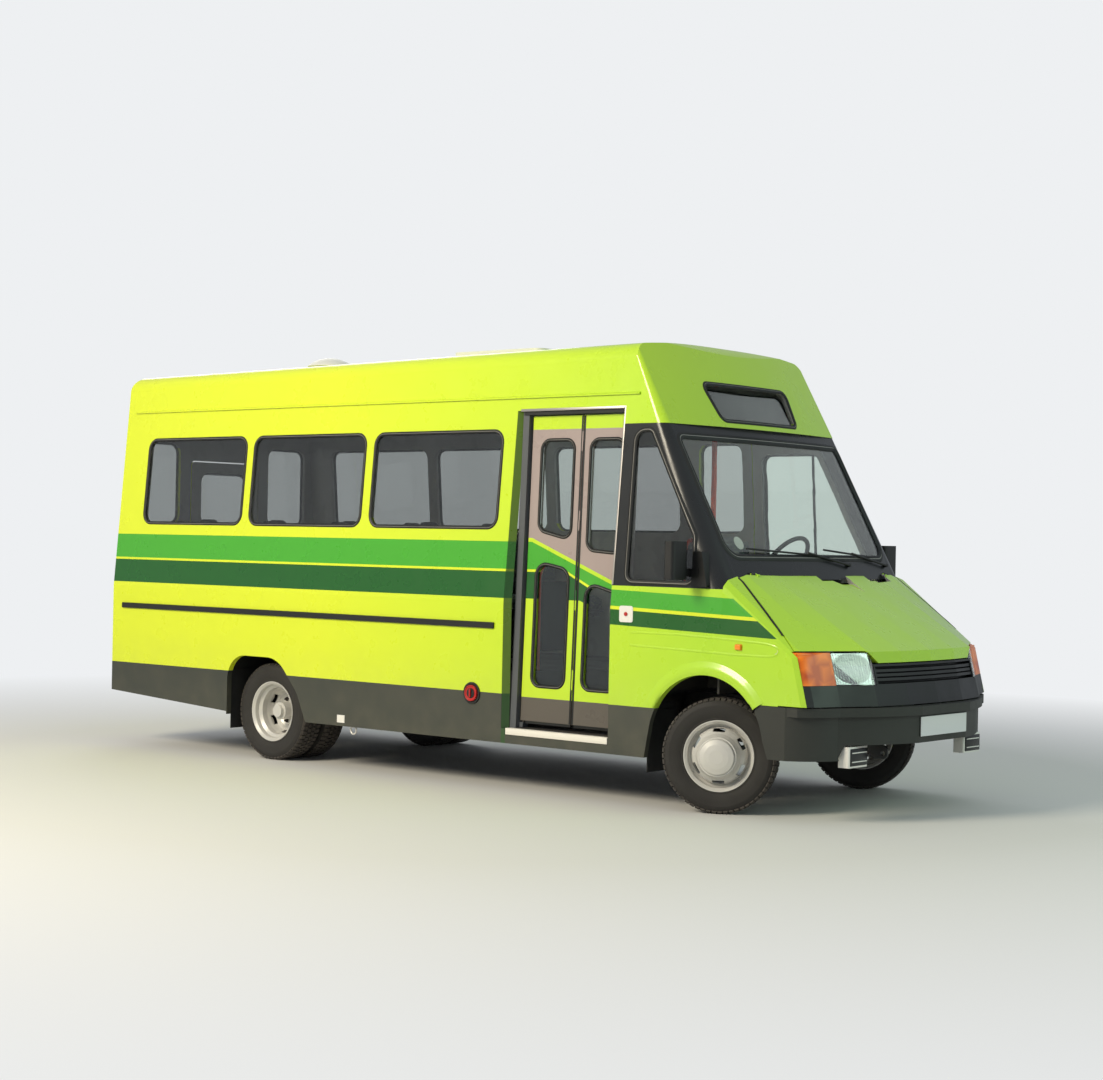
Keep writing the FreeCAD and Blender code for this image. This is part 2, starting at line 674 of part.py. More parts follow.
def make_dome():
    shell = dome_form().cut(dome_form(ROOF_SKIN))
    shell = shell.cut(destination_opening())
    gutter = gutter_strip((CAB_X, CAB_X + 110))
    return join(shell, gutter, mirrored(gutter))


def destination_opening(grow=0.0):
    points = [(-399, 2276), (399, 2276), (448, 2502), (-448, 2502)]
    return prism(points, "yz", (CAB_X + 60, SCUTTLE_X), 45, grow)


def screen_opening(grow=0.0):
    edge = SCREEN_EDGE_Y - 5
    points = [(-edge, SCREEN_Z[0], 90), (edge, SCREEN_Z[0], 90), (edge, SCREEN_Z[1], 45),
              (-edge, SCREEN_Z[1], 45)]
    return prism(points, "yz", (CAB_X + 60, SCUTTLE_X + 400), 0, grow)


def quarter_opening(grow=0.0):
    """Fixed triangular cab window on the right."""
    corners = ((-652, 2197, 70), (-650, 1305, 50), (-152, 1303, 60), (-173, 1577, 60), (-530, 2197, 45))
    points = [(SCUTTLE_X + ahead, z, r) for ahead, z, r in corners]
    return prism(points, "xz", side_span(-1), 0, grow)


def make_cab_frame():
    shell = cab_form().cut(cab_form(CAB_WALL))
    shell = shell.cut(prism(door_points(CAB_DOOR_GAP), "xz", side_span(1)))
    under_bonnet = box((SCUTTLE_X - 60, SCUTTLE_X + 300), (-SCREEN_EDGE_Y, SCREEN_EDGE_Y),
                       (CAB_BASE_Z - 5, 1335))
    shell = shell.cut(under_bonnet).cut(screen_opening()).cut(quarter_opening())
    x, z = BONNET_HINGE
    for side in (-1, 1):
        low, high = side * HINGE_EYE[0], side * HINGE_EYE[1]
        web = box((x - 26, x), (low, high), (z - 7, z + 7))
        shell = shell.fuse(rod((x, low, z), (x, high, z), HINGE_PIN + 4)).fuse(web)
        shell = shell.cut(rod((x, low, z), (x, high, z), HINGE_PIN + SEAT_GAP))
    return shell


def make_wings():
    shell = nose_form().cut(nose_form(NOSE_SKIN))
    outer = box((COWL_X, SCUTTLE_X + 1000), (-HALF_WIDTH - 10, HALF_WIDTH + 10), (VALANCE_BOTTOM_Z, 1500))
    front = shell.common(outer).cut(prism(bonnet_plan(PANEL_GAP), "xy", (400, 1600)))
    front = front.cut(box((LAMP_BACK_X, SCUTTLE_X + 1000), (-LAMP_OUTER_Y, LAMP_OUTER_Y),
                          (300, BREAK_Z + 2)))
    cab = cab_form(0, (CAB_BASE_Z, 1600), CAB_X - 50)
    panels = []
    for side in (-1, 1):
        keep = box((CAB_X, SCUTTLE_X + 1000), (0, side * (HALF_WIDTH + 20)), (0, 1600))
        panel = side_slab(side, (CAB_X, COWL_X), (SKIRT_Z, CAB_BASE_Z), 0, CAB_WALL)
        lower = prism(wing_front_points(), "xz", side_span(side)).common(
            side_slab(side, (COWL_X, LAMP_BACK_X), (VALANCE_BOTTOM_Z - 10, 930), 0, CAB_WALL))
        lip = side_slab(side, (SCUTTLE_X - 600, LAMP_BACK_X - 20), (VALANCE_BOTTOM_Z, WAIST_Z),
                        -ARCH_LIP, ARCH_LIP + 1)
        lip = lip.common(arch_cutter(side, ARCH_LIP_WIDTH))
        wing = join(panel, front.common(keep), lower, lip).cut(arch_cutter(side)).cut(cab)
        if side > 0:
            wing = wing.cut(prism(door_points(CAB_DOOR_GAP), "xz", side_span(1)))
            wing = wing.cut(box((CAB_X - 10, ARCH_X), (0, HALF_WIDTH + 20), (0, 640)))
        panels.append(wing)
    return Part.Compound([solid for panel in panels for solid in panel.Solids if solid.Volume > 1e4])


def wing_front_points():
    return [
        (COWL_X, VALANCE_BOTTOM_Z - 5), (LAMP_BACK_X, VALANCE_BOTTOM_Z - 5),
        (LAMP_BACK_X, 930), (COWL_X, 930),
    ]


def upright_frame(x, y, z):
    """Closed rectangle across the vehicle."""
    corners = [V(x, y[0], z[0]), V(x, y[1], z[0]), V(x, y[1], z[1]), V(x, y[0], z[1])]
    return Part.makePolygon(corners + corners[:1])


def make_bonnet():
    shell = nose_form().cut(nose_form(NOSE_SKIN))
    panel = shell.common(prism(bonnet_plan(0), "xy", (400, 1600))).cut(front_mask(-3))
    panel = panel.cut(box((SCUTTLE_X - 400, SCUTTLE_X + 420), (-1100, 1100), (300, BREAK_Z - 10)))
    panel = panel.cut(cab_form(-COWL_GAP, (CAB_BASE_Z - 200, 1600), CAB_X - 50))
    mouth = cab_form(-COWL_GAP - 32, (CAB_BASE_Z - 200, 1600), CAB_X - 50)
    for low, high, tip in INTAKES:
        panel = panel.cut(mouth.common(box((CAB_X, SCUTTLE_X + 300), (low, high), (1300, 1450))))
        wide = upright_frame(COWL_X + 20, (low, high), (1350, 1450))
        x, z = INTAKE_TIP
        narrow = upright_frame(x, (tip - 4, tip + 4), (z, z + 100))
        panel = panel.cut(loft([wide, narrow]))
    x, z = BONNET_HINGE
    for side in (-1, 1):
        inner, outer = side * (HINGE_EYE[0] - 22), side * (HINGE_EYE[1] - 1)
        pin = rod((x, inner, z), (x, outer, z), HINGE_PIN)
        tab = box((x, x + 26), (inner, inner + side * 20), (z - 12, z - 1))
        panel = panel.fuse(pin).fuse(tab)
    return panel.removeSplitter()


def front_skin(depth, thick):
    """Layer of the nose's front face between two depths."""
    return nose_form(depth).cut(nose_form(depth + thick))


def make_grille():
    """Valance under the lamps with the slatted grille between them."""
    layer = front_skin(4, 40)
    side = LAMP_OUTER_Y - SEAT_GAP
    valance = layer.common(box((LAMP_BACK_X + SEAT_GAP, SCUTTLE_X + 1000), (-side, side),
                               (VALANCE_BOTTOM_Z, LAMP_BOTTOM_Z - SEAT_GAP)))
    edge = GRILLE_HALF
    lip = GRILLE_TOP_Z - 4
    middle = layer.common(box((SCUTTLE_X + 600, SCUTTLE_X + 1000), (-edge, edge),
                              (LAMP_BOTTOM_Z - 6, lip)))
    opening = box((SCUTTLE_X + 600, SCUTTLE_X + 1000), (-edge + 14, edge - 14),
                  (LAMP_BOTTOM_Z + 4, lip - 12))
    panel = join(valance, middle.cut(opening))
    slats = front_skin(8, 30)
    pitch = (lip - LAMP_BOTTOM_Z - 16) / (SLAT_COUNT + 1)
    for i in range(SLAT_COUNT):
        z = LAMP_BOTTOM_Z + 4 + pitch * (i + 1) - SLAT_HEIGHT / 2
        bar = slats.common(box((SCUTTLE_X + 600, SCUTTLE_X + 1000), (-edge + 10, edge - 10),
                               (z, z + SLAT_HEIGHT)))
        panel = panel.fuse(bar)
    backing = front_skin(44, 6).common(box((SCUTTLE_X + 600, SCUTTLE_X + 1000), (-edge, edge),
                                           (LAMP_BOTTOM_Z - 6, lip)))
    return join(panel, backing).common(front_mask(4))


def make_front_lamps():
    """Headlamp and indicator on each side, and a square fog lamp under the bumper."""
    block = nose_form(2, LAMP_BOTTOM_Z - 10).cut(nose_form(LAMP_DEPTH, LAMP_BOTTOM_Z - 10))
    lamps = []
    for low, high in ((LAMP_INNER_Y, LAMP_SPLIT_Y - 3), (LAMP_SPLIT_Y + 3, LAMP_OUTER_Y - 4)):
        cell = box((LAMP_BACK_X + SEAT_GAP, SCUTTLE_X + 1000), (-high, -low),
                   (LAMP_BOTTOM_Z, BREAK_Z - 4))
        lamps += [solid for solid in block.common(cell).Solids if solid.Volume > 1e5]
    lamps = [lamp.common(front_mask(4)) for lamp in lamps]
    x = SCUTTLE_X + 735
    fog = prism([(x - 75, -745, 12), (x, -745, 14), (x, -545, 14), (x - 75, -545, 12)], "xy", (312, 428))
    arm = box((x - 60, x - 48), (-665, -625), (420, 500)).fuse(box((x - 60, x + 60), (-665, -625),
                                                                   (488, 500)))
    lamps.append(join(fog, arm.common(bumper_slice((400, 520), BUMPER_SKIN + SEAT_GAP))))
    lamps += [mirrored(lamp) for lamp in lamps]
    return Part.Compound(lamps)


def bumper_wire(z, inset, grow=0.0):
    """Plan outline of the bumper: flat nose, two arcs to each corner, straight flanks."""
    points = [V(SCUTTLE_X + ahead - inset + grow, y - (inset - grow) * (y / HALF_WIDTH) ** 2,
                z) for ahead, y in BUMPER_PLAN]
    rear = SCUTTLE_X + 250
    left = [V(p.x, p.y, z) for p in points]
    right = [V(p.x, -p.y, z) for p in points]
    return Part.Wire([
        Part.LineSegment(right[0], left[0]).toShape(),
        Part.Arc(left[0], left[1], left[2]).toShape(),
        Part.Arc(left[2], left[3], left[4]).toShape(),
        Part.LineSegment(left[4], V(rear, left[4].y, z)).toShape(),
        Part.LineSegment(V(rear, left[4].y, z), V(rear, right[4].y, z)).toShape(),
        Part.LineSegment(V(rear, right[4].y, z), right[4]).toShape(),
        Part.Arc(right[4], right[3], right[2]).toShape(),
        Part.Arc(right[2], right[1], right[0]).toShape(),
    ])


def bumper_slice(z, inset, grow=0.0):
    return Part.Face(bumper_wire(z[0], inset, grow)).extrude(V(0, 0, z[1] - z[0]))


def make_front_bumper():
    full = (BUMPER_BOTTOM_Z, BUMPER_TOP_Z)
    lip = (BUMPER_LIP_Z, BUMPER_TOP_Z)
    outer = bumper_slice(full, 0).fuse(bumper_slice(lip, 0, BUMPER_LIP).common(
        box((SCUTTLE_X + 500, SCUTTLE_X + 1000), (-HALF_WIDTH + 2, HALF_WIDTH - 2), lip)))
    bumper = outer.cut(bumper_slice((BUMPER_BOTTOM_Z - 1, BUMPER_TOP_Z + 1), BUMPER_SKIN))
    relief = [(-AIR_HALF, BUMPER_BOTTOM_Z - 5), (AIR_HALF, BUMPER_BOTTOM_Z - 5), (AIR_HALF - 40, AIR_TOP_Z),
              (-AIR_HALF + 40, AIR_TOP_Z)]
    bumper = bumper.cut(prism(relief, "yz", (SCUTTLE_X + 600, SCUTTLE_X + 1000), 18))
    bumper = bumper.cut(nose_form(-1).common(box((0, SCUTTLE_X + 440), (-1100, 1100), (300, 1500))))
    bumper = bumper.cut(arch_cutter(-1, 2)).cut(arch_cutter(1, 2))
    bumper = bumper.common(box((SCUTTLE_X + 290, LENGTH / 2 + 1), (-HALF_WIDTH - 30, HALF_WIDTH + 30),
                               (0, 1000)))
    stays = box((RAIL_FRONT_X + SEAT_GAP, SCUTTLE_X + BUMPER_NOSE - BUMPER_SKIN - 20),
                (-RAIL_Y - 20, -RAIL_Y + 20), (530, 620))
    plate = box((SCUTTLE_X + BUMPER_NOSE - 2, SCUTTLE_X + BUMPER_NOSE + 6), (-260, 260), (473, 584))
    return join(bumper, stays, mirrored(stays), plate)


def make_rear_bumper():
    points = [(-940, 430, 12), (940, 430, 12), (940, 560, 12), (-940, 560, 12)]
    bar = prism(points, "yz", (-LENGTH / 2, BODY_REAR_X))
    plate = box((-LENGTH / 2 - 0, BODY_REAR_X), (-260, 260), (560, 672))
    return join(bar, plate.cut(box((-LENGTH / 2 - 1, BODY_REAR_X - 8), (-300, 300), (565, 700))))


def make_rear_lamps():
    """Tall clusters: red over amber over clear, on the rear corners, and two reflectors."""
    cluster = prism([(800, 860, 14), (920, 860, 14), (920, 1220, 14), (800, 1220, 14)], "yz",
                    (BODY_REAR_X - 28, BODY_REAR_X))
    for z in (980, 1100):
        cluster = cluster.cut(box((BODY_REAR_X - 40, BODY_REAR_X - 22), (780, 940), (z - 3, z + 3)))
    return pair(cluster)


def make_front_glass():
    screen = cab_form(4).cut(cab_form(4 + GLASS)).common(screen_opening(-SEAT_GAP))
    sign = dome_form(GLASS_DEPTH).cut(dome_form(GLASS_DEPTH + GLASS)).common(destination_opening(-SEAT_GAP))
    return Part.Compound(screen.Solids + sign.Solids)


def make_side_glass():
    panes = []
    for side in (-1, 1):
        layer = side_slab(side, (BODY_REAR_X + 50, CAB_X), (WINDOW_Z[0] - 20, WINDOW_Z[1] + 20),
                          GLASS_DEPTH, GLASS)
        for span in window_spans(side):
            panes.append(layer.common(prism(window_points(span, WINDOW_Z), "xz", side_span(side),
                                            WINDOW_RADIUS, -SEAT_GAP)))
    quarter = cab_form(GLASS_DEPTH).cut(cab_form(GLASS_DEPTH + GLASS)).common(quarter_opening(-SEAT_GAP))
    panes.append(quarter)
    for side in (-1, 1):
        spans = sorted((side * REAR_SIDE_GLASS[0], side * REAR_SIDE_GLASS[1]))
        depth = (BODY_REAR_X + GLASS_DEPTH, BODY_REAR_X + GLASS_DEPTH + GLASS)
        panes.append(prism(window_points(spans, WINDOW_Z), "yz", depth, WINDOW_RADIUS, -SEAT_GAP))
    return Part.Compound([solid for pane in panes for solid in pane.Solids])


def lean(shape):
    """Lean the folding door's upright frame inwards to follow the side."""
    return shape.rotated(V(0, LEAF_Y, LEAF_BOTTOM_Z), V(1, 0, 0), -math.degrees(math.atan(LEAF_LEAN)))


def leaf_windows(seam_x, direction, drop):
    """The two glazed openings of a leaf; direction is -1 for the rear leaf, 1 for the front leaf."""
    near = seam_x + direction * UPPER_WINDOW["near"]
    far = seam_x + direction * UPPER_WINDOW["far"]
    low_near = UPPER_WINDOW["seam_low"] - (drop if direction > 0 else 0)
    low_far = UPPER_WINDOW["edge_low"] - (drop * 2.2 if direction > 0 else 0)
    upper = [(near, low_near, 60), (far, low_far, 60), (far, UPPER_WINDOW["top"], 60),
             (near, UPPER_WINDOW["top"], 60)]
    near = seam_x + direction * LOWER_WINDOW["near"]
    far = seam_x + direction * LOWER_WINDOW["far"]
    near_top, far_top = LOWER_TOPS[direction]
    low = LOWER_WINDOW["low"]
    lower = [(near, low, 60), (far, low, 60), (far, far_top, 75), (near, near_top, 75)]
    return upper, lower


def make_leaf(front):
    """One leaf of the entrance door; the front leaf mirrors the rear one about the seam."""
    direction = 1 if front else -1
    inner_x = SEAM_X + direction * LEAF_GAP / 2
    outer_x = inner_x + direction * LEAF_WIDTH
    slab = box((inner_x, outer_x), (LEAF_Y, LEAF_Y + LEAF_THICK), (LEAF_BOTTOM_Z, LEAF_TOP_Z))
    for outline in leaf_windows(inner_x, direction, 60):
        slab = slab.cut(prism(outline, "xz", (LEAF_Y - 5, LEAF_Y + LEAF_THICK + 5)))
    for i, z in enumerate((640, 1120, 1600, 2080)):
        start = z + (60 + SEAT_GAP if front else 0)
        slab = slab.fuse(rod((SEAM_X, SEAM_Y, start), (SEAM_X, SEAM_Y, start + 60), BARREL_RADIUS))
        slab = slab.fuse(box((SEAM_X, inner_x + direction * 2), (SEAM_Y - 2, LEAF_Y + 2),
                             (start, start + 60)))
    if not front:
        for z in ((LEAF_BOTTOM_Z - 18, LEAF_BOTTOM_Z + 40), (LEAF_TOP_Z - 40, LEAF_TOP_Z + 14)):
            slab = slab.fuse(rod((LEAF_HINGE_X, LEAF_HINGE_Y, z[0]), (LEAF_HINGE_X, LEAF_HINGE_Y, z[1]),
                                 PIVOT_RADIUS - 2))
        for z in (LEAF_BOTTOM_Z, LEAF_TOP_Z - 40):
            slab = slab.fuse(box((LEAF_HINGE_X, outer_x + 4), (LEAF_HINGE_Y - 12, LEAF_HINGE_Y),
                                 (z, z + 40)))
    else:
        roller_x = 2 * SEAM_X - LEAF_HINGE_X
        slab = slab.fuse(rod((roller_x, LEAF_HINGE_Y, LEAF_TOP_Z - 30),
                             (roller_x, LEAF_HINGE_Y, LEAF_TOP_Z + 12), PIVOT_RADIUS - 2))
        slab = slab.fuse(box((outer_x - 4, roller_x), (LEAF_HINGE_Y - 12, LEAF_HINGE_Y),
                             (LEAF_TOP_Z - 30, LEAF_TOP_Z)))
    return lean(slab.removeSplitter())


def make_leaf_glass(front):
    direction = 1 if front else -1
    inner_x = SEAM_X + direction * LEAF_GAP / 2
    panes = []
    for outline in leaf_windows(inner_x, direction, 60):
        panes.append(lean(prism(outline, "xz", (LEAF_Y + 12, LEAF_Y + 12 + GLASS), 0, -SEAT_GAP)))
    return Part.Compound(panes)


def make_entrance_frame():
    """Aluminium rear post with the pivot brackets, and the roller track over the leaves."""
    post = box((DOORWAY_X0 + SEAT_GAP, LEAF_X0 - 16), (LEAF_Y - 24, LEAF_Y + 30),
               (STEP_Z - 10, LEAF_TOP_Z + 30))
    track_y = (LEAF_Y - 4, LEAF_Y + LEAF_THICK + 30)
    far = 2 * SEAM_X - LEAF_HINGE_X + 30
    track = box((DOORWAY_X0 + 5, far), track_y, (LEAF_TOP_Z + 8, LEAF_TOP_Z + 30))
    clear = PIVOT_RADIUS - 2 + SEAT_GAP
    slot = box((LEAF_HINGE_X - clear, far - 20), (LEAF_HINGE_Y - clear, LEAF_HINGE_Y + clear),
               (LEAF_TOP_Z, LEAF_TOP_Z + 24))
    foot = box((DOORWAY_X0 + 5, LEAF_HINGE_X + 20), (LEAF_Y + 6, LEAF_Y + LEAF_THICK + 22),
               (STEP_Z + 10, LEAF_BOTTOM_Z - 12))
    socket = rod((LEAF_HINGE_X, LEAF_HINGE_Y, LEAF_BOTTOM_Z - 22),
                 (LEAF_HINGE_X, LEAF_HINGE_Y, LEAF_BOTTOM_Z), PIVOT_RADIUS - 2 + SEAT_GAP)
    frame = join(post, track, foot).cut(slot).cut(socket)
    tread = box((DOORWAY_X0 - 100, CAB_X + 100), (-HALF_WIDTH - 50, 0), (STEP_Z - 80, STEP_Z + SEAT_GAP))
    return lean(frame).cut(tread)


def make_cab_door():
    upper = cab_form(0, (CAB_BASE_Z, DOME_BASE_Z),
                     CAB_X - 400).cut(cab_form(CAB_DOOR_THICK, (CAB_BASE_Z, DOME_BASE_Z), CAB_X - 401))
    lower = side_slab(1, (CAB_X - 400, SCUTTLE_X), (500, CAB_BASE_Z), 0, CAB_DOOR_THICK)
    door = join(lower, upper.common(box((0, SCUTTLE_X + 400), (500, 1100), (CAB_BASE_Z, DOME_BASE_Z))))
    door = door.common(prism(door_points(), "xz", side_span(1)))
    door = door.cut(prism(cab_glass_points(), "xz", side_span(1), 60))
    for z in (960, 1180):
        x, y = CAB_DOOR_HINGE
        barrel = rod((x, y, z), (x, y, z + 80), CAB_DOOR_GAP / 2 - SEAT_GAP)
        tab = box((x - 9, x), (y - 3, y + 3), (z, z + 80))
        door = door.fuse(barrel).fuse(tab)
    return door.removeSplitter()


def cab_glass_points():
    return [(SCUTTLE_X + ahead, z) for ahead, z in CAB_GLASS]


def make_cab_door_glass():
    layer = side_slab(1, (CAB_X - 400, SCUTTLE_X), (1300, DOME_BASE_Z - 20), GLASS_DEPTH + 6, GLASS)
    return layer.common(prism(cab_glass_points(), "xz", side_span(1), 60, -SEAT_GAP))


def make_rear_door():
    span = (BODY_REAR_X, BODY_REAR_X + WALL)
    door = prism(window_points((-REAR_DOOR_HALF, REAR_DOOR_HALF), REAR_DOOR_Z), "yz", span, 32)
    glass = window_points((-REAR_GLASS_HALF, REAR_GLASS_HALF), (WINDOW_Z[0], REAR_DOOR_Z[1] - 80))
    door = door.cut(prism(glass, "yz", span, WINDOW_RADIUS))
    x, y = REAR_DOOR_HINGE
    for z in (900, 1350, 1800):
        door = door.fuse(rod((x, y, z), (x, y, z + 90), REAR_DOOR_GAP / 2 - SEAT_GAP))
        door = door.fuse(box((x - 3, x + 3), (y - 8, y), (z, z + 90)))
    handle = box((BODY_REAR_X - 22, BODY_REAR_X), (-REAR_DOOR_HALF + 40, -REAR_DOOR_HALF + 160),
                 (1290, 1320))
    return join(door, handle)


def make_rear_door_glass():
    glass = window_points((-REAR_GLASS_HALF, REAR_GLASS_HALF), (WINDOW_Z[0], REAR_DOOR_Z[1] - 80))
    return prism(glass, "yz", (BODY_REAR_X + GLASS_DEPTH, BODY_REAR_X + GLASS_DEPTH + GLASS), WINDOW_RADIUS,
                 -SEAT_GAP)


def well_span():
    """Front and rear inner faces of the step well."""
    return DOORWAY_X0, 2 * SEAM_X - LEAF_HINGE_X + 45


def make_floor():
    """Flat boards: behind, between and ahead of the wheel boxes, beside the steps and in the cab."""
    boards = []
    well = well_span()
    well_edge = -STEP2_DEPTH + SHEET + SEAT_GAP
    split = CAB_X - 340
    rows = (
        ((BODY_REAR_X + WALL + SEAT_GAP, WHEEL_BOX_X[0]), (-LINED, LINED)),
        (WHEEL_BOX_X, (-WHEEL_BOX_Y, WHEEL_BOX_Y)),
        ((WHEEL_BOX_X[1], well[0] - SHEET), (-LINED, LINED)),
        ((well[0] - SHEET, split), (well_edge, LINED)),
        ((split, well[1] + SHEET), (well_edge, CAB_LINED)),
        ((well[1] + SHEET, FOOTWELL_X - SHEET), (-LINED, CAB_LINED)),
        ((FOOTWELL_X - SHEET, BULKHEAD_X), (-FOOTWELL_Y + SHEET, FOOTWELL_Y - SHEET)),
    )
    for x, y in rows:
        span = (x[0] + SEAT_GAP / 2, x[1] - SEAT_GAP / 2)
        boards.append(box(span, (y[0] + SEAT_GAP, y[1] - SEAT_GAP), (FLOOR_Z - FLOOR_SLAB, FLOOR_Z)))
    return Part.Compound(boards)


def make_wheel_boxes():
    """Open-bottomed covers over the twin wheels."""
    inner = WHEEL_BOX_Y + SEAT_GAP
    outer_x = (WHEEL_BOX_X[0] + SEAT_GAP, WHEEL_BOX_X[1] - SEAT_GAP)
    cover = box(outer_x, (inner, LINED), (FLOOR_Z - FLOOR_SLAB, FLOOR_Z + 100))
    hollow_x = (outer_x[0] + SHEET, outer_x[1] - SHEET)
    hollow = box(hollow_x, (inner + SHEET, LINED + 1), (FLOOR_Z - FLOOR_SLAB - 1, FLOOR_Z + 100 - SHEET))
    return pair(cover.cut(hollow))


def make_entrance_steps():
    """Two treads with their risers between two cheeks, and the nosing in the doorway."""
    well = well_span()
    skin = (well[0] - SHEET, well[1] + SHEET)
    pieces = [
        box(skin, (-LINED, -STEP_DEPTH + SHEET), (STEP_Z - SHEET, STEP_Z)),
        box(skin, (-STEP_DEPTH, -STEP_DEPTH + SHEET), (STEP_Z - SHEET, STEP2_Z)),
        box(skin, (-STEP_DEPTH, -STEP2_DEPTH + SHEET), (STEP2_Z - SHEET, STEP2_Z)),
        box(skin, (-STEP2_DEPTH, -STEP2_DEPTH + SHEET), (STEP2_Z - SHEET, FLOOR_Z)),
    ]
    cheek = [
        (-LINED, STEP_Z - SHEET), (-STEP_DEPTH + SHEET, STEP_Z - SHEET),
        (-STEP_DEPTH + SHEET, STEP2_Z - SHEET),
        (-STEP2_DEPTH + SHEET, STEP2_Z - SHEET), (-STEP2_DEPTH + SHEET, FLOOR_Z), (-LINED, FLOOR_Z),
    ]
    pieces.append(prism(cheek, "yz", (skin[0], well[0])))
    pieces.append(prism(cheek, "yz", (well[1], skin[1])))
    lip_x = (DOORWAY_X0 + 2, DOORWAY_X1 - 2)
    pieces.append(box(lip_x, (-HALF_WIDTH, -LINED + 1), (STEP_Z - NOSING, STEP_Z)))
    return join(*pieces)


def make_cab_bulkhead():
    """Front wall of the cab with a shelf over each front wheel."""
    under, shelf = FLOOR_Z - FLOOR_SLAB, FLOOR_Z + 100
    front_y = SCREEN_EDGE_Y + 30
    wall = box((BULKHEAD_X, BULKHEAD_X + SHEET), (-front_y, front_y), (under, 1180))
    start = FOOTWELL_X - SHEET
    for side in (-1, 1):
        inner = side * (FOOTWELL_Y - SHEET)
        wall = wall.fuse(box((start, FOOTWELL_X), (inner, side * CAB_LINED), (under, shelf)))
        wall = wall.fuse(box((start, BULKHEAD_X + SHEET), (inner, side * front_y), (shelf - 20, shelf)))
        wall = wall.fuse(box((start, BULKHEAD_X), (inner, side * FOOTWELL_Y), (under, shelf)))
    return wall.removeSplitter()


def seat_back_profile(x):
    """Side outline of a seat back: leaning, with rounded top."""
    tilt = math.tan(math.radians(BACK_TILT_DEG))
    low, high = SEAT_TOP_Z - 20, SEAT_TOP_Z + BACK_HEIGHT
    return [
        (x, low, 20), (x + BACK_PAD, low, 20),
        (x + BACK_PAD - tilt * (high - low), high, 30), (x - tilt * (high - low), high, 30),
    ]


def seat_place(row, side):
    x = BODY_REAR_X + row
    y = (side * AISLE_HALF, side * (AISLE_HALF + SEAT_SPAN))
    return x, (min(y), max(y))


def squab(back, front, y):
    """Seat pad with a rounder front edge."""
    low = SEAT_TOP_Z - SEAT_PAD
    outline = [(back, low, 20), (front, low, 20), (front, SEAT_TOP_Z, 35), (back, SEAT_TOP_Z, 20)]
    return prism(outline, "xz", y)


def make_seat_cushions():
    """Double seats either side of the aisle, and the driver's seat; squab and back are one pad each."""
    pads = []
    for row in SEAT_ROWS:
        for side in (-1, 1):
            x, y = seat_place(row, side)
            pads.append(squab(x + BACK_PAD + 4, x + BACK_PAD + SEAT_LENGTH, y))
            pads.append(prism(seat_back_profile(x), "xz", y))
    x, y = DRIVER_SEAT
    pads.append(squab(x + BACK_PAD + 4, x + 560, (y - 240, y + 240)))
    pads.append(prism(seat_back_profile(x), "xz", (y - 230, y + 230)))
    return Part.Compound(pads)


def back_board(x, y):
    """Leaning board behind a seat back, and the place of its top edge."""
    tilt = math.tan(math.radians(BACK_TILT_DEG))
    low, high = SEAT_TOP_Z - SEAT_PAD - SEAT_GAP - PAN_DEPTH, SEAT_TOP_Z + BACK_HEIGHT
    foot = x - SEAT_GAP - tilt * (low - SEAT_TOP_Z + 20)
    top = foot - tilt * (high - low)
    board = prism([(foot - BOARD, low), (foot, low), (top, high), (top - BOARD, high)], "xz", y)
    return board, top


def make_seat_frames():
    """Tubular frames: a pan under each squab, a back board, a leg at the aisle and a wall bracket."""
    frames = []
    pan_top = SEAT_TOP_Z - SEAT_PAD - SEAT_GAP
    high = SEAT_TOP_Z + BACK_HEIGHT
    for row in SEAT_ROWS:
        for side in (-1, 1):
            x, y = seat_place(row, side)
            pan = box((x - 5, x + SEAT_LENGTH + 60), (y[0] + 10, y[1] - 10), (pan_top - PAN_DEPTH, pan_top))
            board, top = back_board(x, (y[0] + 12, y[1] - 12))
            leg_y = (side * (AISLE_HALF + 60), side * (AISLE_HALF + 100))
            leg = box((x + 120, x + 330), leg_y, (FLOOR_Z + SEAT_GAP, pan_top))
            wall_y = (side * (AISLE_HALF + SEAT_SPAN - 12), side * LINED)
            bracket = box((x + 60, x + 400), wall_y, (pan_top - 60, pan_top))
            near, far = side * (AISLE_HALF + 40), side * (AISLE_HALF + 210)
            grip = [(near, high - 60), (near, high + 55), (far, high + 55), (far, high - 60)]
            hoop = bent_rod([(top - 12, across, up) for across, up in grip], 11, 40)
            frames.append(join(pan, board, leg, bracket, hoop))
    return Part.Compound(frames)


def make_driver_seat_frame():
    """Box base, tray and back board of the driver's seat."""
    x, y = DRIVER_SEAT
    pan_top = SEAT_TOP_Z - SEAT_PAD - SEAT_GAP
    base = box((x + 60, x + 480), (y - 190, y + 190), (FLOOR_Z + SEAT_GAP, pan_top))
    tray = box((x - 20, x + 500), (y - 200, y + 200), (pan_top - PAN_DEPTH, pan_top))
    board, _ = back_board(x, (y - 200, y + 200))
    return join(base, tray, board)


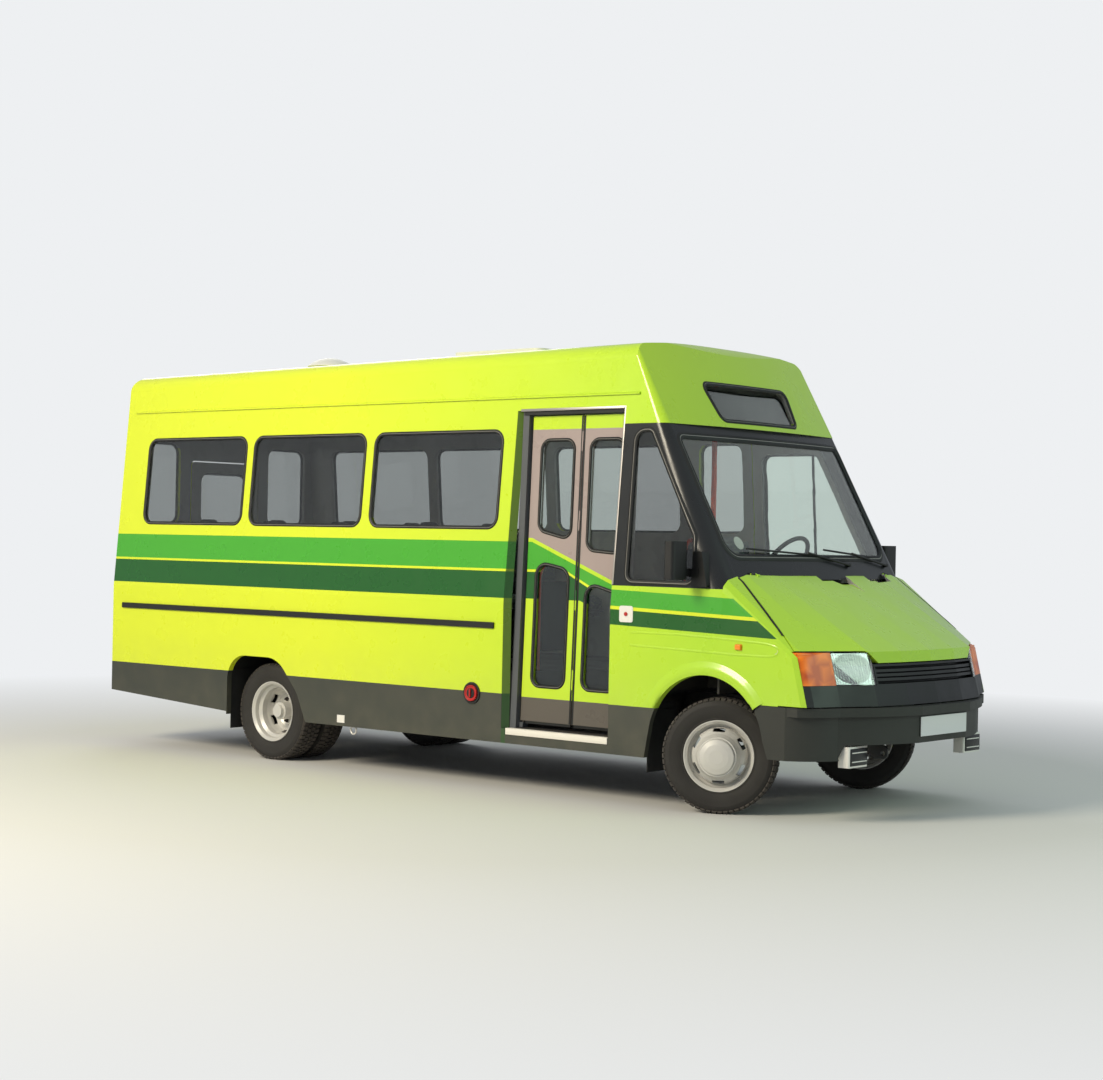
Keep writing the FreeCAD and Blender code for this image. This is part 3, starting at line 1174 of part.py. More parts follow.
def make_dashboard():
    """Facia across the cab with a raised binnacle in front of the driver."""
    back, front = SCUTTLE_X - 330, SCUTTLE_X - 60 - SEAT_GAP
    outline = [(back + 60, 1030, 30), (front, 1030, 0), (front, 1310, 0), (back + 40, 1300, 40),
               (back, 1180, 40)]
    facia = prism(outline, "xz", (-SCREEN_EDGE_Y + 20, SCREEN_EDGE_Y - 20))
    hood = [(back - 20, 1200, 30), (back + 160, 1200, 0), (back + 160, 1330, 30), (back + 10, 1370, 40)]
    binnacle = prism(hood, "xz", (WHEEL_CENTRE[1] - 210, WHEEL_CENTRE[1] + 210))
    column = Part.makeCylinder(COLUMN_RADIUS + SEAT_GAP, 220, V(*WHEEL_CENTRE) + V(*COLUMN_DIR) * 40,
                               V(*COLUMN_DIR))
    return join(facia, binnacle).cut(column)


def make_steering_wheel():
    """Rim, two spokes, boss and column, tilted towards the driver."""
    axis = V(*COLUMN_DIR)
    centre = V(*WHEEL_CENTRE)
    rim = Part.makeTorus(STEERING_WHEEL_RADIUS, 14, centre, axis)
    boss = Part.makeCylinder(55, 50, centre - axis * 5, axis)
    across = V(0, 1, 0)
    spoke = Part.makeCylinder(12, 2 * STEERING_WHEEL_RADIUS,
                              centre - across * STEERING_WHEEL_RADIUS + axis * 12, across)
    column = Part.makeCylinder(COLUMN_RADIUS, 200, centre + axis * 40, axis)
    return join(boss, spoke, column).fuse(rim)


def make_handrails():
    """Floor-to-ceiling poles by the steps, and a slanted grab rail across the modesty panel."""
    poles = []
    places = ((DOORWAY_X0 - 40, -STEP2_DEPTH - 60, roof_form), (LEAF_X0 + 890, -STEP2_DEPTH + 40, dome_form))
    for x, y, ceiling in places:
        lower = rod((x, y, FLOOR_Z + SEAT_GAP), (x, y, GUTTER_Z + 50), 16)
        upper = rod((x, y, GUTTER_Z + 50), (x, y, SHOULDER_FRONT_Z + 80), 16)
        poles.append(join(lower, upper.common(ceiling(ROOF_SKIN + SEAT_GAP))))
    rail_x = DOORWAY_X0 - 40
    grab = bent_rod([(rail_x, -STEP2_DEPTH - 60, 1500), (rail_x, -STEP2_DEPTH - 300, 1500),
                     (rail_x, -STEP2_DEPTH - 420, 1320),
                     (rail_x, -STEP2_DEPTH - 420, FLOOR_Z + SEAT_GAP)], 14, 70)
    panel = box((rail_x - 6, rail_x + 6), (-STEP2_DEPTH - 415, -STEP2_DEPTH - 60), (FLOOR_Z + 120, 1280))
    guard_x = DRIVER_SEAT[0] - 130
    guard = bent_rod([(guard_x, 160, FLOOR_Z + SEAT_GAP), (guard_x, 160, 1560), (guard_x, 760, 1560),
                      (guard_x, 760, FLOOR_Z + SEAT_GAP)], 14, 90)
    screen = box((guard_x - 6, guard_x + 6), (165, 755), (FLOOR_Z + 120, 1500))
    return Part.Compound([join(poles[0], grab, panel), poles[1], join(guard, screen)])


def make_mirror(side):
    """Box-shaped head on a short arm from a wedge-shaped base at the front of the cab window."""
    x = SCUTTLE_X - 205
    rear, front, top = MIRROR_BASE[side]
    inner, outer = MIRROR_HEAD_Y
    head_points = [(x, inner, 10), (x + 60, inner + 12, 22), (x + 60, outer - 12, 22), (x, outer, 10)]
    head = prism(head_points, "xy", (1328, 1545), 0)
    base_points = [(rear, 1290, 8), (front, 1290, 8), (front - 40, top, 8), (rear + 10, top, 8)]
    base = prism(base_points, "xz", (960, 1030))
    arm = box((x + 12, x + 48), (1025, inner + 20), (1350, 1392))
    foot = box((x + 12, rear + 50), (1010, 1034), (1345, 1392))
    mirror = join(head, arm, foot, base).cut(cab_form(-SEAT_GAP, (CAB_BASE_Z, 1700)))
    return mirror if side > 0 else mirrored(mirror)


def make_wipers():
    """Two parked wipers: spindle on the cowl, arm and blade along the foot of the screen."""
    wipers = []
    for pivot_y, tip_y in ((300, -700), (800, 60)):
        spindle = V(screen_x(pivot_y, 1420) - 6, pivot_y, 1420)
        knee = V(screen_x(pivot_y - 420, 1492) + 26, pivot_y - 420, 1492)
        tip = V(screen_x(tip_y, 1512) + 26, tip_y, 1512)
        mid_y = (pivot_y - 170)
        start = V(screen_x(mid_y, 1470) + 26, mid_y, 1470)
        arm = rod(tuple(spindle + V(26, 0, 0)), tuple(knee), 7)
        blade = rod(tuple(start), tuple(tip), 6)
        post = rod(tuple(spindle), tuple(spindle + V(30, 0, 0)), 11)
        wipers.append(join(post, arm, blade).cut(cab_form(-SEAT_GAP, (CAB_BASE_Z, 1700))))
    return Part.Compound(wipers)


def screen_x(y, z):
    """Front surface of the windscreen or cowl at a place."""
    edge = SCUTTLE_X + SCREEN_BOTTOM_AHEAD - SCREEN_SLOPE * (z - SCREEN_Z[0])
    return edge + SCREEN_BOW * (1 - (y / SCREEN_EDGE_Y) ** 2)


def make_mudflaps():
    front_x = ARCH_X - ARCH_RADIUS * 1.09 - 6
    front = box((front_x - 6, front_x), (-HALF_WIDTH + 60, -HALF_WIDTH + 330), (200, 560))
    hanger = box((front_x - 14, front_x - 6), (-HALF_WIDTH + CAB_WALL + SEAT_GAP, -HALF_WIDTH + 330),
                 (540, 600))
    rear_x = REAR_AXLE_X - 385
    rear = box((rear_x - 6, rear_x), (-HALF_WIDTH + 50, -TWIN_INNER_Y + TYRE_WIDTH / 2), (190, 600))
    rear_hanger = box((rear_x - 14, rear_x - 6),
                      (-HALF_WIDTH + WALL + SEAT_GAP, -TWIN_INNER_Y + TYRE_WIDTH / 2),
                      (560, FLOOR_Z - FLOOR_SLAB - SEAT_GAP))
    return Part.Compound([shape for flap in (join(front, hanger),
                                             join(rear, rear_hanger)) for shape in (flap, mirrored(flap))])


def make_roof_vents():
    """A domed extractor towards the rear and a flat lift-up hatch amidships."""
    vent_x, vent_y = BODY_REAR_X + 1500, -300.0
    base_z = roof_top(vent_x, vent_y)
    skirt = Part.makeCylinder(150, 30, V(vent_x, vent_y, base_z - 4))
    cap = Part.makeSphere(260, V(vent_x, vent_y, base_z - 176), V(0, 0, 1))
    cap = cap.common(Part.makeCylinder(165, 80, V(vent_x, vent_y, base_z + 20)))
    vent = skirt.fuse(cap).cut(roof_form())
    hatch_x = (BODY_REAR_X + 2676, BODY_REAR_X + 3458)
    top = roof_top(hatch_x[1], 0) + 46
    plan = [(hatch_x[0], -300, 60), (hatch_x[1], -300, 60), (hatch_x[1], 300, 60), (hatch_x[0], 300, 60)]
    hatch = prism(plan, "xy", (top - 100, top)).cut(roof_form())
    return Part.Compound(vent.removeSplitter().Solids + hatch.Solids)


def roof_top(x, y):
    share = (x - BODY_REAR_X) / (CAB_X - BODY_REAR_X)
    shoulder = SHOULDER_REAR_Z + share * (SHOULDER_FRONT_Z - SHOULDER_REAR_Z)
    return shoulder + ROOF_CROWN * (1 - (y / SHOULDER_Y) ** 2)


def rail_side(inset=0.0):
    """Side outline of a rail: high over both axles, low between them past the entrance steps."""
    high, low = RAIL_HIGH_Z - inset, RAIL_LOW_Z - inset
    high_under, low_under = RAIL_HIGH_Z - RAIL_DEPTH + inset, RAIL_LOW_Z - RAIL_DEPTH + inset
    return [
        (RAIL_REAR_X, high_under), (RAIL_DROP_REAR - RAIL_KICK, high_under), (RAIL_DROP_REAR, low_under),
        (RAIL_DROP_FRONT, low_under), (RAIL_DROP_FRONT + RAIL_KICK, high_under), (RAIL_FRONT_X, high_under),
        (RAIL_FRONT_X, high), (RAIL_DROP_FRONT + RAIL_KICK, high), (RAIL_DROP_FRONT, low),
        (RAIL_DROP_REAR, low), (RAIL_DROP_REAR - RAIL_KICK, high), (RAIL_REAR_X, high),
    ]


def make_chassis():
    """The ladder frame's two channel rails, open towards the middle."""
    outer, inner = RAIL_Y + RAIL_WIDTH / 2, RAIL_Y - RAIL_WIDTH / 2
    rail = prism(rail_side(), "xz", (-outer, -inner))
    hollow = prism(rail_side(RAIL_WEB), "xz", (-outer + RAIL_WEB, -inner + 1))
    rail = rail.cut(hollow.common(box((RAIL_REAR_X + RAIL_END, RAIL_FRONT_X - RAIL_END), (-outer, 0),
                                      (0, 1000))))
    return pair(rail)


def make_cross_members():
    """Cross-members seated in the channels, and bearers across the rails that carry the floor."""
    half = RAIL_Y + RAIL_WIDTH / 2 - RAIL_WEB - SEAT_GAP
    bars = []
    for x, top in CROSS_MEMBERS:
        bars.append(box((x, x + 60), (-half, half), (top - CROSS_DEPTH, top - RAIL_WEB - SEAT_GAP)))
    reach = HALF_WIDTH - WALL - 20
    under_floor = FLOOR_Z - FLOOR_SLAB - SEAT_GAP
    for x, low in BEARERS:
        bars.append(box((x, x + 40), (-reach, reach), (low + SEAT_GAP, under_floor)))
    return Part.Compound(bars)


def make_tow_eyes():
    """A plate with a towing eye under each end of the right rail."""
    plates = []
    for points, (x, z) in zip((FRONT_EYE_PLATE, REAR_EYE_PLATE), EYES):
        plate = prism(points, "xz", (-RAIL_Y - EYE_PLATE / 2, -RAIL_Y + EYE_PLATE / 2))
        plates.append(plate.cut(rod((x, -RAIL_Y - 40, z), (x, -RAIL_Y + 40, z), EYE_RADIUS)))
    return Part.Compound(plates)


def make_front_axle():
    """Dropped I-beam with round kingpin bosses."""
    half = KINGPIN_Y - 30
    z = TYRE_RADIUS
    beam = [(-half, z - 28), (-420, z - 28), (-330, z - 78), (330, z - 78), (420, z - 28), (half, z - 28),
            (half, z + 28), (400, z + 28), (320, z - 22), (-320, z - 22), (-400, z + 28), (-half, z + 28)]
    x = FRONT_AXLE_X
    body = prism(beam, "yz", (x - 32, x + 32))
    web = [(-half + 30, z - 12), (-415, z - 12), (-325, z - 62), (325, z - 62), (415, z - 12),
           (half - 30, z - 12),
           (half - 30, z + 12), (405, z + 12), (315, z - 38), (-315, z - 38), (-405, z + 12),
           (-half + 30, z + 12)]
    body = body.cut(prism(web, "yz", (x - 33, x - 8))).cut(prism(web, "yz", (x + 8, x + 33)))
    for side in (-1, 1):
        boss = rod((x, side * KINGPIN_Y, z - 48), (x, side * KINGPIN_Y, z + 48), 34)
        hole = rod((x, side * KINGPIN_Y, z - 60), (x, side * KINGPIN_Y, z + 60),
                   KINGPIN_RADIUS + KINGPIN_CLEAR)
        pad = box((x - 45, x + 45), (side * (RAIL_Y - 35), side * (RAIL_Y + 35)), (z - 28, z + 40))
        body = body.fuse(boss).fuse(pad).cut(hole)
    return body.removeSplitter()


def leaf_spring(x, low_z, eye_z, reach, side):
    """Curved leaf pack with two eyes and a hanger at each end up to the rail."""
    thick = 34.0
    y = side * RAIL_Y
    start, end = V(x - reach, y, eye_z), V(x + reach, y, eye_z)
    lower = Part.Arc(start, V(x, y, low_z), end).toShape()
    upper = Part.Arc(end + V(0, 0, thick), V(x, y, low_z + thick), start + V(0, 0, thick)).toShape()
    ends = [Part.LineSegment(end, end + V(0, 0, thick)).toShape(),
            Part.LineSegment(start + V(0, 0, thick), start).toShape()]
    face = Part.Face(Part.Wire([lower, ends[0], upper, ends[1]]))
    pack = face.extrude(V(0, SPRING_WIDTH, 0)).translated(V(0, -SPRING_WIDTH / 2, 0))
    for at in (x - reach, x + reach):
        pack = pack.fuse(rod((at, y - 34, eye_z + thick / 2), (at, y + 34, eye_z + thick / 2), 24))
        rail_under = RAIL_HIGH_Z - RAIL_DEPTH - SEAT_GAP
        pack = pack.fuse(box((at - 16, at + 16), (y - 28, y + 28), (eye_z + thick / 2, rail_under)))
    return pack.removeSplitter()


def make_leaf_springs():
    springs = []
    for side in (-1, 1):
        springs.append(leaf_spring(FRONT_AXLE_X, TYRE_RADIUS + 40 + SEAT_GAP, 440, 430, side))
        springs.append(leaf_spring(REAR_AXLE_X, TYRE_RADIUS + AXLE_TUBE_RADIUS + SEAT_GAP, 440, 600, side))
    return Part.Compound(springs)


def make_rear_axle():
    """Tubular casing with a round differential and brake drums, and the propeller shaft."""
    z, x = TYRE_RADIUS, REAR_AXLE_X
    half = HUB_FACE_Y
    casing = rod((x, -half, z), (x, half, z), AXLE_TUBE_RADIUS)
    diff = Part.makeSphere(140, V(x, 0, z)).common(box((x - 140, x + 140), (-110, 110), (z - 140, z + 140)))
    nose = Part.makeCone(75, 45, 200, V(x + 90, 0, z), V(1, 0, 0))
    shaft_start = V(x + 290 + SEAT_GAP, 0, z)
    shaft_end = V(SCUTTLE_X - 640 - SEAT_GAP, 0, 500)
    along = shaft_end - shaft_start
    shaft = Part.makeCylinder(34, along.Length, shaft_start, along)
    casing = join(casing, diff, nose)
    shaft = shaft.cut(box((x, x + 290 + SEAT_GAP), (-60, 60), (200, 500)))
    return Part.Compound([casing,
                          shaft.cut(box((SCUTTLE_X - 640 - SEAT_GAP, SCUTTLE_X), (-60, 60),
                                        (300, 700)))])


def make_exhaust():
    """Down-pipe side silencer and tail pipe, hung from the rails."""
    y = 250.0
    z = 452.0
    pipe = bent_rod([(SCUTTLE_X - 560, y, z), (REAR_AXLE_X - 700, y, z),
                     (BODY_REAR_X + 90, y + 120, z - 50)], 25, 300)
    box_x = REAR_AXLE_X + 1260
    silencer = prism([(y - 100, z - 62, 45), (y + 100, z - 62, 45), (y + 100, z + 62, 45),
                      (y - 100, z + 62, 45)], "yz", (box_x, box_x + 620))
    shapes = [pipe, silencer]
    for x, top in (CROSS_MEMBERS[1], CROSS_MEMBERS[3]):
        shapes.append(box((x + 20, x + 40), (y - 12, y + 12), (z, top - CROSS_DEPTH - SEAT_GAP)))
    return join(*shapes)


def make_fuel_tank():
    """Flat tank inside the right skirt with its filler neck and cap."""
    x, z = FILLER
    tank = prism([(-900, 350, 30), (-530, 350, 30), (-530, 600, 30), (-900, 600, 30)], "yz",
                 (x - 380, x + 230))
    neck = rod((x, -HALF_WIDTH - 4, z), (x, -890, z), FILLER_RADIUS)
    cap = rod((x, -HALF_WIDTH - 16, z), (x, -HALF_WIDTH - 2, z), FILLER_RADIUS - 14)
    straps = [box((x + at, x + at + 40), (-905, -525),
                  (345, FLOOR_Z - FLOOR_SLAB - SEAT_GAP)) for at in (-300, 120)]
    return join(tank, neck, cap, *straps)


def make_engine():
    """Engine and gearbox as one plain stepped block."""
    engine = box((SCUTTLE_X + 50, SCUTTLE_X + 560), (-250, 250), (420, 940))
    gearbox = box((SCUTTLE_X - 640, SCUTTLE_X + 50), (-140, 140), (400, 640))
    reach = RAIL_Y + RAIL_WIDTH / 2 - RAIL_WEB - SEAT_GAP
    arms = box((SCUTTLE_X + 240, SCUTTLE_X + 300), (-reach, reach), (560, 600))
    return join(engine, gearbox, arms)


def tyre(centre_y, x):
    """Road tyre with flat tread, rounded shoulders and bulged walls."""
    half = TYRE_WIDTH / 2
    bead = RIM_RADIUS + SEAT_GAP
    profile = [
        (-half * 0.72, bead), (-half * 0.94, bead + 38), (-half, bead + 78),
        (-half * 0.93, TYRE_RADIUS - 22), (-half * 0.74, TYRE_RADIUS),
        (half * 0.74, TYRE_RADIUS), (half * 0.93, TYRE_RADIUS - 22), (half, bead + 78),
        (half * 0.94, bead + 38), (half * 0.72, bead),
    ]
    return revolve_x(profile, (x, centre_y, TYRE_RADIUS))


def rim_shape(centre_y, x, toward, crown):
    """Pressed steel wheel: rolled rim and a slotted disc bulging by crown towards +1 or -1 in Y."""
    half = TYRE_WIDTH * 0.36
    flange, seat = RIM_FLANGE_RADIUS, RIM_RADIUS
    barrel = [
        (-half - 14, flange), (-half - 8, flange), (-half, seat), (-40, seat - 4), (-24, seat - 22),
        (24, seat - 22), (40, seat - 4),
        (half, seat), (half + 8, flange), (half + 14, flange), (half + 14, flange - 5), (half, seat - 6),
        (38, seat - 10), (22, seat - 29), (-22, seat - 29), (-38, seat - 10), (-half, seat - 6),
        (-half - 14, flange - 5),
    ]
    shape = revolve_x(barrel, (x, centre_y, TYRE_RADIUS))
    face = [(14, seat - 24), (58, 160), (76, 150), (96, 130), (crown, 112), (crown, HUB_RADIUS - 4)]
    back = [(crown - 8, HUB_RADIUS - 4), (crown - 8, 106), (90, 122), (68, 142), (50, 152), (4, seat - 24)]
    disc = [(toward * along, radius) for along, radius in face + back]
    plate = revolve_x(disc, (x, centre_y, TYRE_RADIUS))
    centre = V(x, centre_y, TYRE_RADIUS)
    slot = box((x + 138, x + 158), (centre_y + toward * 40, centre_y + toward * 120),
               (TYRE_RADIUS - 35, TYRE_RADIUS + 35))
    for i in range(RIM_SLOTS):
        plate = plate.cut(slot.rotated(centre, V(0, 1, 0), 90 + i * 360.0 / RIM_SLOTS))
    return shape.fuse(plate)


def hub_dome(centre_y, x, outward, at):
    """Domed cover over the centre of a front wheel."""
    profile = [
        (at, 0), (at, 106), (at + outward * HUB_DOME * 0.55, 98), (at + outward * HUB_DOME * 0.85, 70),
        (at + outward * HUB_DOME, 40), (at + outward * HUB_DOME, 0),
    ]
    return revolve_x(profile, (x, centre_y, TYRE_RADIUS))


def steered(shape, side):
    """Turn a front wheel assembly about its kingpin to the parked steering angle."""
    return shape.rotated(V(FRONT_AXLE_X, side * KINGPIN_Y, 0), V(0, 0, 1), STEER_REST_DEG)


def make_front_rim(side):
    y, x, z = side * TRACK_FRONT / 2, FRONT_AXLE_X, TYRE_RADIUS
    hub_start = side * (KINGPIN_Y + DRUM_REACH + SEAT_GAP)
    hub_end = y + side * (FRONT_CROWN + 2)
    hub = rod((x, hub_start, z), (x, hub_end, z), HUB_RADIUS)
    bore = rod((x, hub_start - side, z), (x, y + side * SPINDLE_REACH, z), SPINDLE_RADIUS + SEAT_GAP)
    rim = rim_shape(y, x, side, FRONT_CROWN).fuse(hub_dome(y, x, side, side * FRONT_CROWN))
    return steered(rim.fuse(hub).cut(bore).removeSplitter(), side)


def make_front_tyre(side):
    return steered(tyre(side * TRACK_FRONT / 2, FRONT_AXLE_X), side)


def make_knuckle(side):
    """Stub axle: forked ears round the beam's boss, kingpin, brake drum plate and spindle."""
    x, z, y = FRONT_AXLE_X, TYRE_RADIUS, side * KINGPIN_Y
    pin = rod((x, y, z - 76), (x, y, z + 76), KINGPIN_RADIUS)
    shapes = [pin]
    for sign in (-1, 1):
        ear = box((x - 30, x + 30), (y - side * 28, y + side * 62), (z + sign * (48 + 0.5), z + sign * 76))
        shapes.append(ear)
    upright = box((x - 34, x + 34), (y + side * 38, y + side * 62), (z - 76, z + 76))
    drum = rod((x, y + side * 60, z), (x, y + side * DRUM_REACH, z), 118)
    spindle = rod((x, y + side * 90, z), (x, side * (TRACK_FRONT / 2 + SPINDLE_REACH - 2), z),
                  SPINDLE_RADIUS)
    shapes += [upright, drum, spindle]
    return steered(join(*shapes), side)


def make_rear_rims(side):
    """Twin rims bolted face to face on one hub and drum, turning as one."""
    x, z = REAR_AXLE_X, TYRE_RADIUS
    crown = (TWIN_OUTER_Y - TWIN_INNER_Y) / 2
    outer = rim_shape(side * TWIN_OUTER_Y, x, -side, crown)
    inner = rim_shape(side * TWIN_INNER_Y, x, side, crown)
    hub = rod((x, side * TWIN_INNER_Y, z), (x, side * (TWIN_OUTER_Y + 10), z), HUB_RADIUS)
    cap = rod((x, side * TWIN_OUTER_Y, z), (x, side * (TWIN_OUTER_Y + 34), z), HUB_RADIUS - 18)
    drum = rod((x, side * (HUB_FACE_Y - 30), z), (x, side * (TWIN_INNER_Y + 30), z), 140)
    bore = rod((x, side * 500, z), (x, side * (HUB_FACE_Y + SEAT_GAP), z), AXLE_TUBE_RADIUS + SEAT_GAP)
    return join(outer, inner, hub, cap, drum).cut(bore)


def make_rear_tyres(side):
    return Part.Compound([tyre(side * TWIN_OUTER_Y, REAR_AXLE_X), tyre(side * TWIN_INNER_Y, REAR_AXLE_X)])


NODES = {
    "chassis_frame": make_chassis,
    "cross_members": make_cross_members,
    "tow_eyes": make_tow_eyes,
    "front_axle": make_front_axle,
    "leaf_springs": make_leaf_springs,
    "rear_axle": make_rear_axle,
    "exhaust": make_exhaust,
    "fuel_tank": make_fuel_tank,
    "engine": make_engine,
    "floor": make_floor,
    "wheel_boxes": make_wheel_boxes,
    "entrance_steps": make_entrance_steps,
    "cab_bulkhead": make_cab_bulkhead,
    "side_right": make_side_right,
    "side_left": make_side_left,
    "rear_wall": make_rear_wall,
    "roof": make_roof,
    "front_dome": make_dome,
    "cab_frame": make_cab_frame,
    "wings": make_wings,
    "bonnet": make_bonnet,
    "grille": make_grille,
    "front_lamps": make_front_lamps,
    "front_bumper": make_front_bumper,
    "rear_bumper": make_rear_bumper,
    "rear_lamps": make_rear_lamps,
    "front_glass": make_front_glass,
    "side_glass": make_side_glass,
    "entrance_frame": make_entrance_frame,
    "door_leaf_rear": lambda: make_leaf(False),
    "door_leaf_front": lambda: make_leaf(True),
    "door_glass_rear": lambda: make_leaf_glass(False),
    "door_glass_front": lambda: make_leaf_glass(True),
    "cab_door": make_cab_door,
    "cab_door_glass": make_cab_door_glass,
    "rear_door": make_rear_door,
    "rear_door_glass": make_rear_door_glass,
    "seat_frames": make_seat_frames,
    "driver_seat_frame": make_driver_seat_frame,
    "seat_cushions": make_seat_cushions,
    "dashboard": make_dashboard,
    "steering_wheel": make_steering_wheel,
    "handrails": make_handrails,
    "mirror_right": lambda: make_mirror(-1),
    "mirror_left": lambda: make_mirror(1),
    "wipers": make_wipers,
    "mudflaps": make_mudflaps,
    "roof_vents": make_roof_vents,
    "knuckle_right": lambda: make_knuckle(-1),
    "knuckle_left": lambda: make_knuckle(1),
    "front_rim_right": lambda: make_front_rim(-1),
    "front_rim_left": lambda: make_front_rim(1),
    "front_tyre_right": lambda: make_front_tyre(-1),
    "front_tyre_left": lambda: make_front_tyre(1),
    "rear_rims_right": lambda: make_rear_rims(-1),
    "rear_rims_left": lambda: make_rear_rims(1),
    "rear_tyres_right": lambda: make_rear_tyres(-1),
    "rear_tyres_left": lambda: make_rear_tyres(1),
}


def main():
    os.makedirs("parts", exist_ok=True)
    for name, make in NODES.items():
        shape = make()
        bounds = shape.BoundBox
        print(name, len(shape.Solids), shape.isValid(), round(shape.Volume / 1e6, 2), bounds, flush=True)
        shape.exportStep("parts/" + name + ".step")


main()
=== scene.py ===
# %% [markdown]
# # A lime-green minibus
# This lesson dresses a CAD model of a coach-built minibus. The CAD pieces come in first, at real size in
# metres: +X is the nose, +Y the vehicle's left and +Z up. Each new piece then rides on the body that carries
# it, so that doors, bonnet and wheels still move with all that is fixed to them.

import json
import math

import bpy
from mathutils import Matrix, Vector

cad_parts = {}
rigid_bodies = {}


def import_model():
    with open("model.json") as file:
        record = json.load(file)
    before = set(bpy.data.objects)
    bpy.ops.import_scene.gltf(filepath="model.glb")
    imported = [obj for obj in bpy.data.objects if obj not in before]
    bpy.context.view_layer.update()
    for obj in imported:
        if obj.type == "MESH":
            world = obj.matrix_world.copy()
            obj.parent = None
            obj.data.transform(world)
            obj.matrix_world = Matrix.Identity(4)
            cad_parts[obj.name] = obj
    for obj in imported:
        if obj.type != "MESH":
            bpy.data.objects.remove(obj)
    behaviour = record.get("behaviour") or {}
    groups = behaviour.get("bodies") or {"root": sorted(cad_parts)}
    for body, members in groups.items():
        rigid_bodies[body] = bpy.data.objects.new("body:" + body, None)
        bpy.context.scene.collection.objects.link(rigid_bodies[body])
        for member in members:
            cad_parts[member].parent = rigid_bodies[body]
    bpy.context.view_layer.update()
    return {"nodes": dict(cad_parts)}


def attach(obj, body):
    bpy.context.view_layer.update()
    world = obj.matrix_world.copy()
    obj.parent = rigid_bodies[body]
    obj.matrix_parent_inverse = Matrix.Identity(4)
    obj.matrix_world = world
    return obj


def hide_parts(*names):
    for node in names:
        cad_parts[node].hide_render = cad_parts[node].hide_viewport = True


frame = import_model()
NODES = frame["nodes"]
print("CAD pieces:", len(NODES))

# %% [markdown]
# ## Camera
# The view is a photograph's: a 67 mm lens on a 36 mm wide frame, 14 m away at eye height, held almost level.
# A camera looks down its own -Z, so its matrix takes the image's right and up directions and the reverse of
# the view direction. A small roll turns the first two.

# %% Camera
IMAGE_WIDTH = 1103
FOCAL_PIXELS = 2046.0
CAMERA_PLACE = Vector((8.983, -10.425, 1.531))
AZIMUTH, PITCH, ROLL = math.radians(40.129), math.radians(-0.038), math.radians(1.132)

ahead = Vector((-math.sin(AZIMUTH) * math.cos(PITCH), math.cos(AZIMUTH) * math.cos(PITCH), -math.sin(PITCH)))
level = Vector((math.cos(AZIMUTH), math.sin(AZIMUTH), 0.0))
upward = level.cross(ahead)
image_right = level * math.cos(ROLL) + upward * math.sin(ROLL)
image_up = upward * math.cos(ROLL) - level * math.sin(ROLL)

camera_data = bpy.data.cameras.new("camera")
camera_data.sensor_width = 36.0
camera_data.sensor_fit = "HORIZONTAL"
camera_data.lens = FOCAL_PIXELS * camera_data.sensor_width / IMAGE_WIDTH
camera = bpy.data.objects.new("camera", camera_data)
bpy.context.scene.collection.objects.link(camera)
turn = Matrix((image_right, image_up, -ahead)).transposed()
camera.matrix_world = Matrix.Translation(CAMERA_PLACE) @ turn.to_4x4()
bpy.context.scene.camera = camera
print("lens", round(camera_data.lens, 2), "mm")

# %% [markdown]
# ## Colours and nodes
# Colours are written as on a paint chart, in sRGB hex, and one function turns them to the linear values that
# Blender computes with. A second small function adds any node with its settings and its inputs in one line.
# An input may be a socket, a whole node, a number or a colour code, so patterns read like sentences.

# %% Helpers for materials
FINISH = {}


def paint_code(code):
    """sRGB hex to linear RGBA."""
    values = [int(code[i:i + 2], 16) / 255 for i in (1, 3, 5)]
    return tuple(v / 12.92 if v <= 0.04045 else ((v + 0.055) / 1.055) ** 2.4 for v in values) + (1.0,)


def first_output(source):
    """The output in use of a node; anything else is passed on."""
    if isinstance(source, bpy.types.Node):
        return next(socket for socket in source.outputs if socket.enabled)
    return source


def fill(tree, node, key, source):
    """Link or set one input."""
    source = first_output(source)
    if isinstance(source, bpy.types.NodeSocket):
        tree.links.new(source, node.inputs[key])
    else:
        node.inputs[key].default_value = paint_code(source) if isinstance(source, str) else source


def add(tree, kind, inputs=(), **settings):
    """Add a node. Inputs are given in order, or keyed by socket name or number."""
    node = tree.nodes.new("ShaderNode" + kind)
    for name, value in settings.items():
        setattr(node, name, value)
    for key, source in inputs.items() if isinstance(inputs, dict) else enumerate(inputs):
        fill(tree, node, key, source)
    return node


def finish_of(name, colour, roughness, metallic=0.0, **shader_values):
    """Keep a new material with a Principled shader. Keyword underscores stand for spaces in socket names."""
    material = bpy.data.materials.new(name)
    material.use_nodes = True
    tree = material.node_tree
    shader = tree.nodes["Principled BSDF"]
    for key, value in {"Base Color": colour, "Roughness": roughness, "Metallic": metallic,
                       **shader_values}.items():
        fill(tree, shader, key.replace("_", " "), value)
    FINISH[name] = material
    return tree, shader


def place_of(tree):
    """Object coordinates in metres, whole and split into X, Y, Z."""
    where = add(tree, "TexCoord").outputs["Object"]
    return where, add(tree, "SeparateXYZ", (where,)).outputs


def grain(tree, shader, where, size, height):
    """Fine bump of a moulded or cast surface; size and height in metres."""
    noise = add(tree, "TexNoise", {"Vector": where, "Scale": 1.0 / size, "Detail": 2.0}).outputs["Fac"]
    bump = add(tree, "Bump", {"Height": noise, "Distance": height, "Strength": 1.0})
    fill(tree, shader, "Normal", bump)


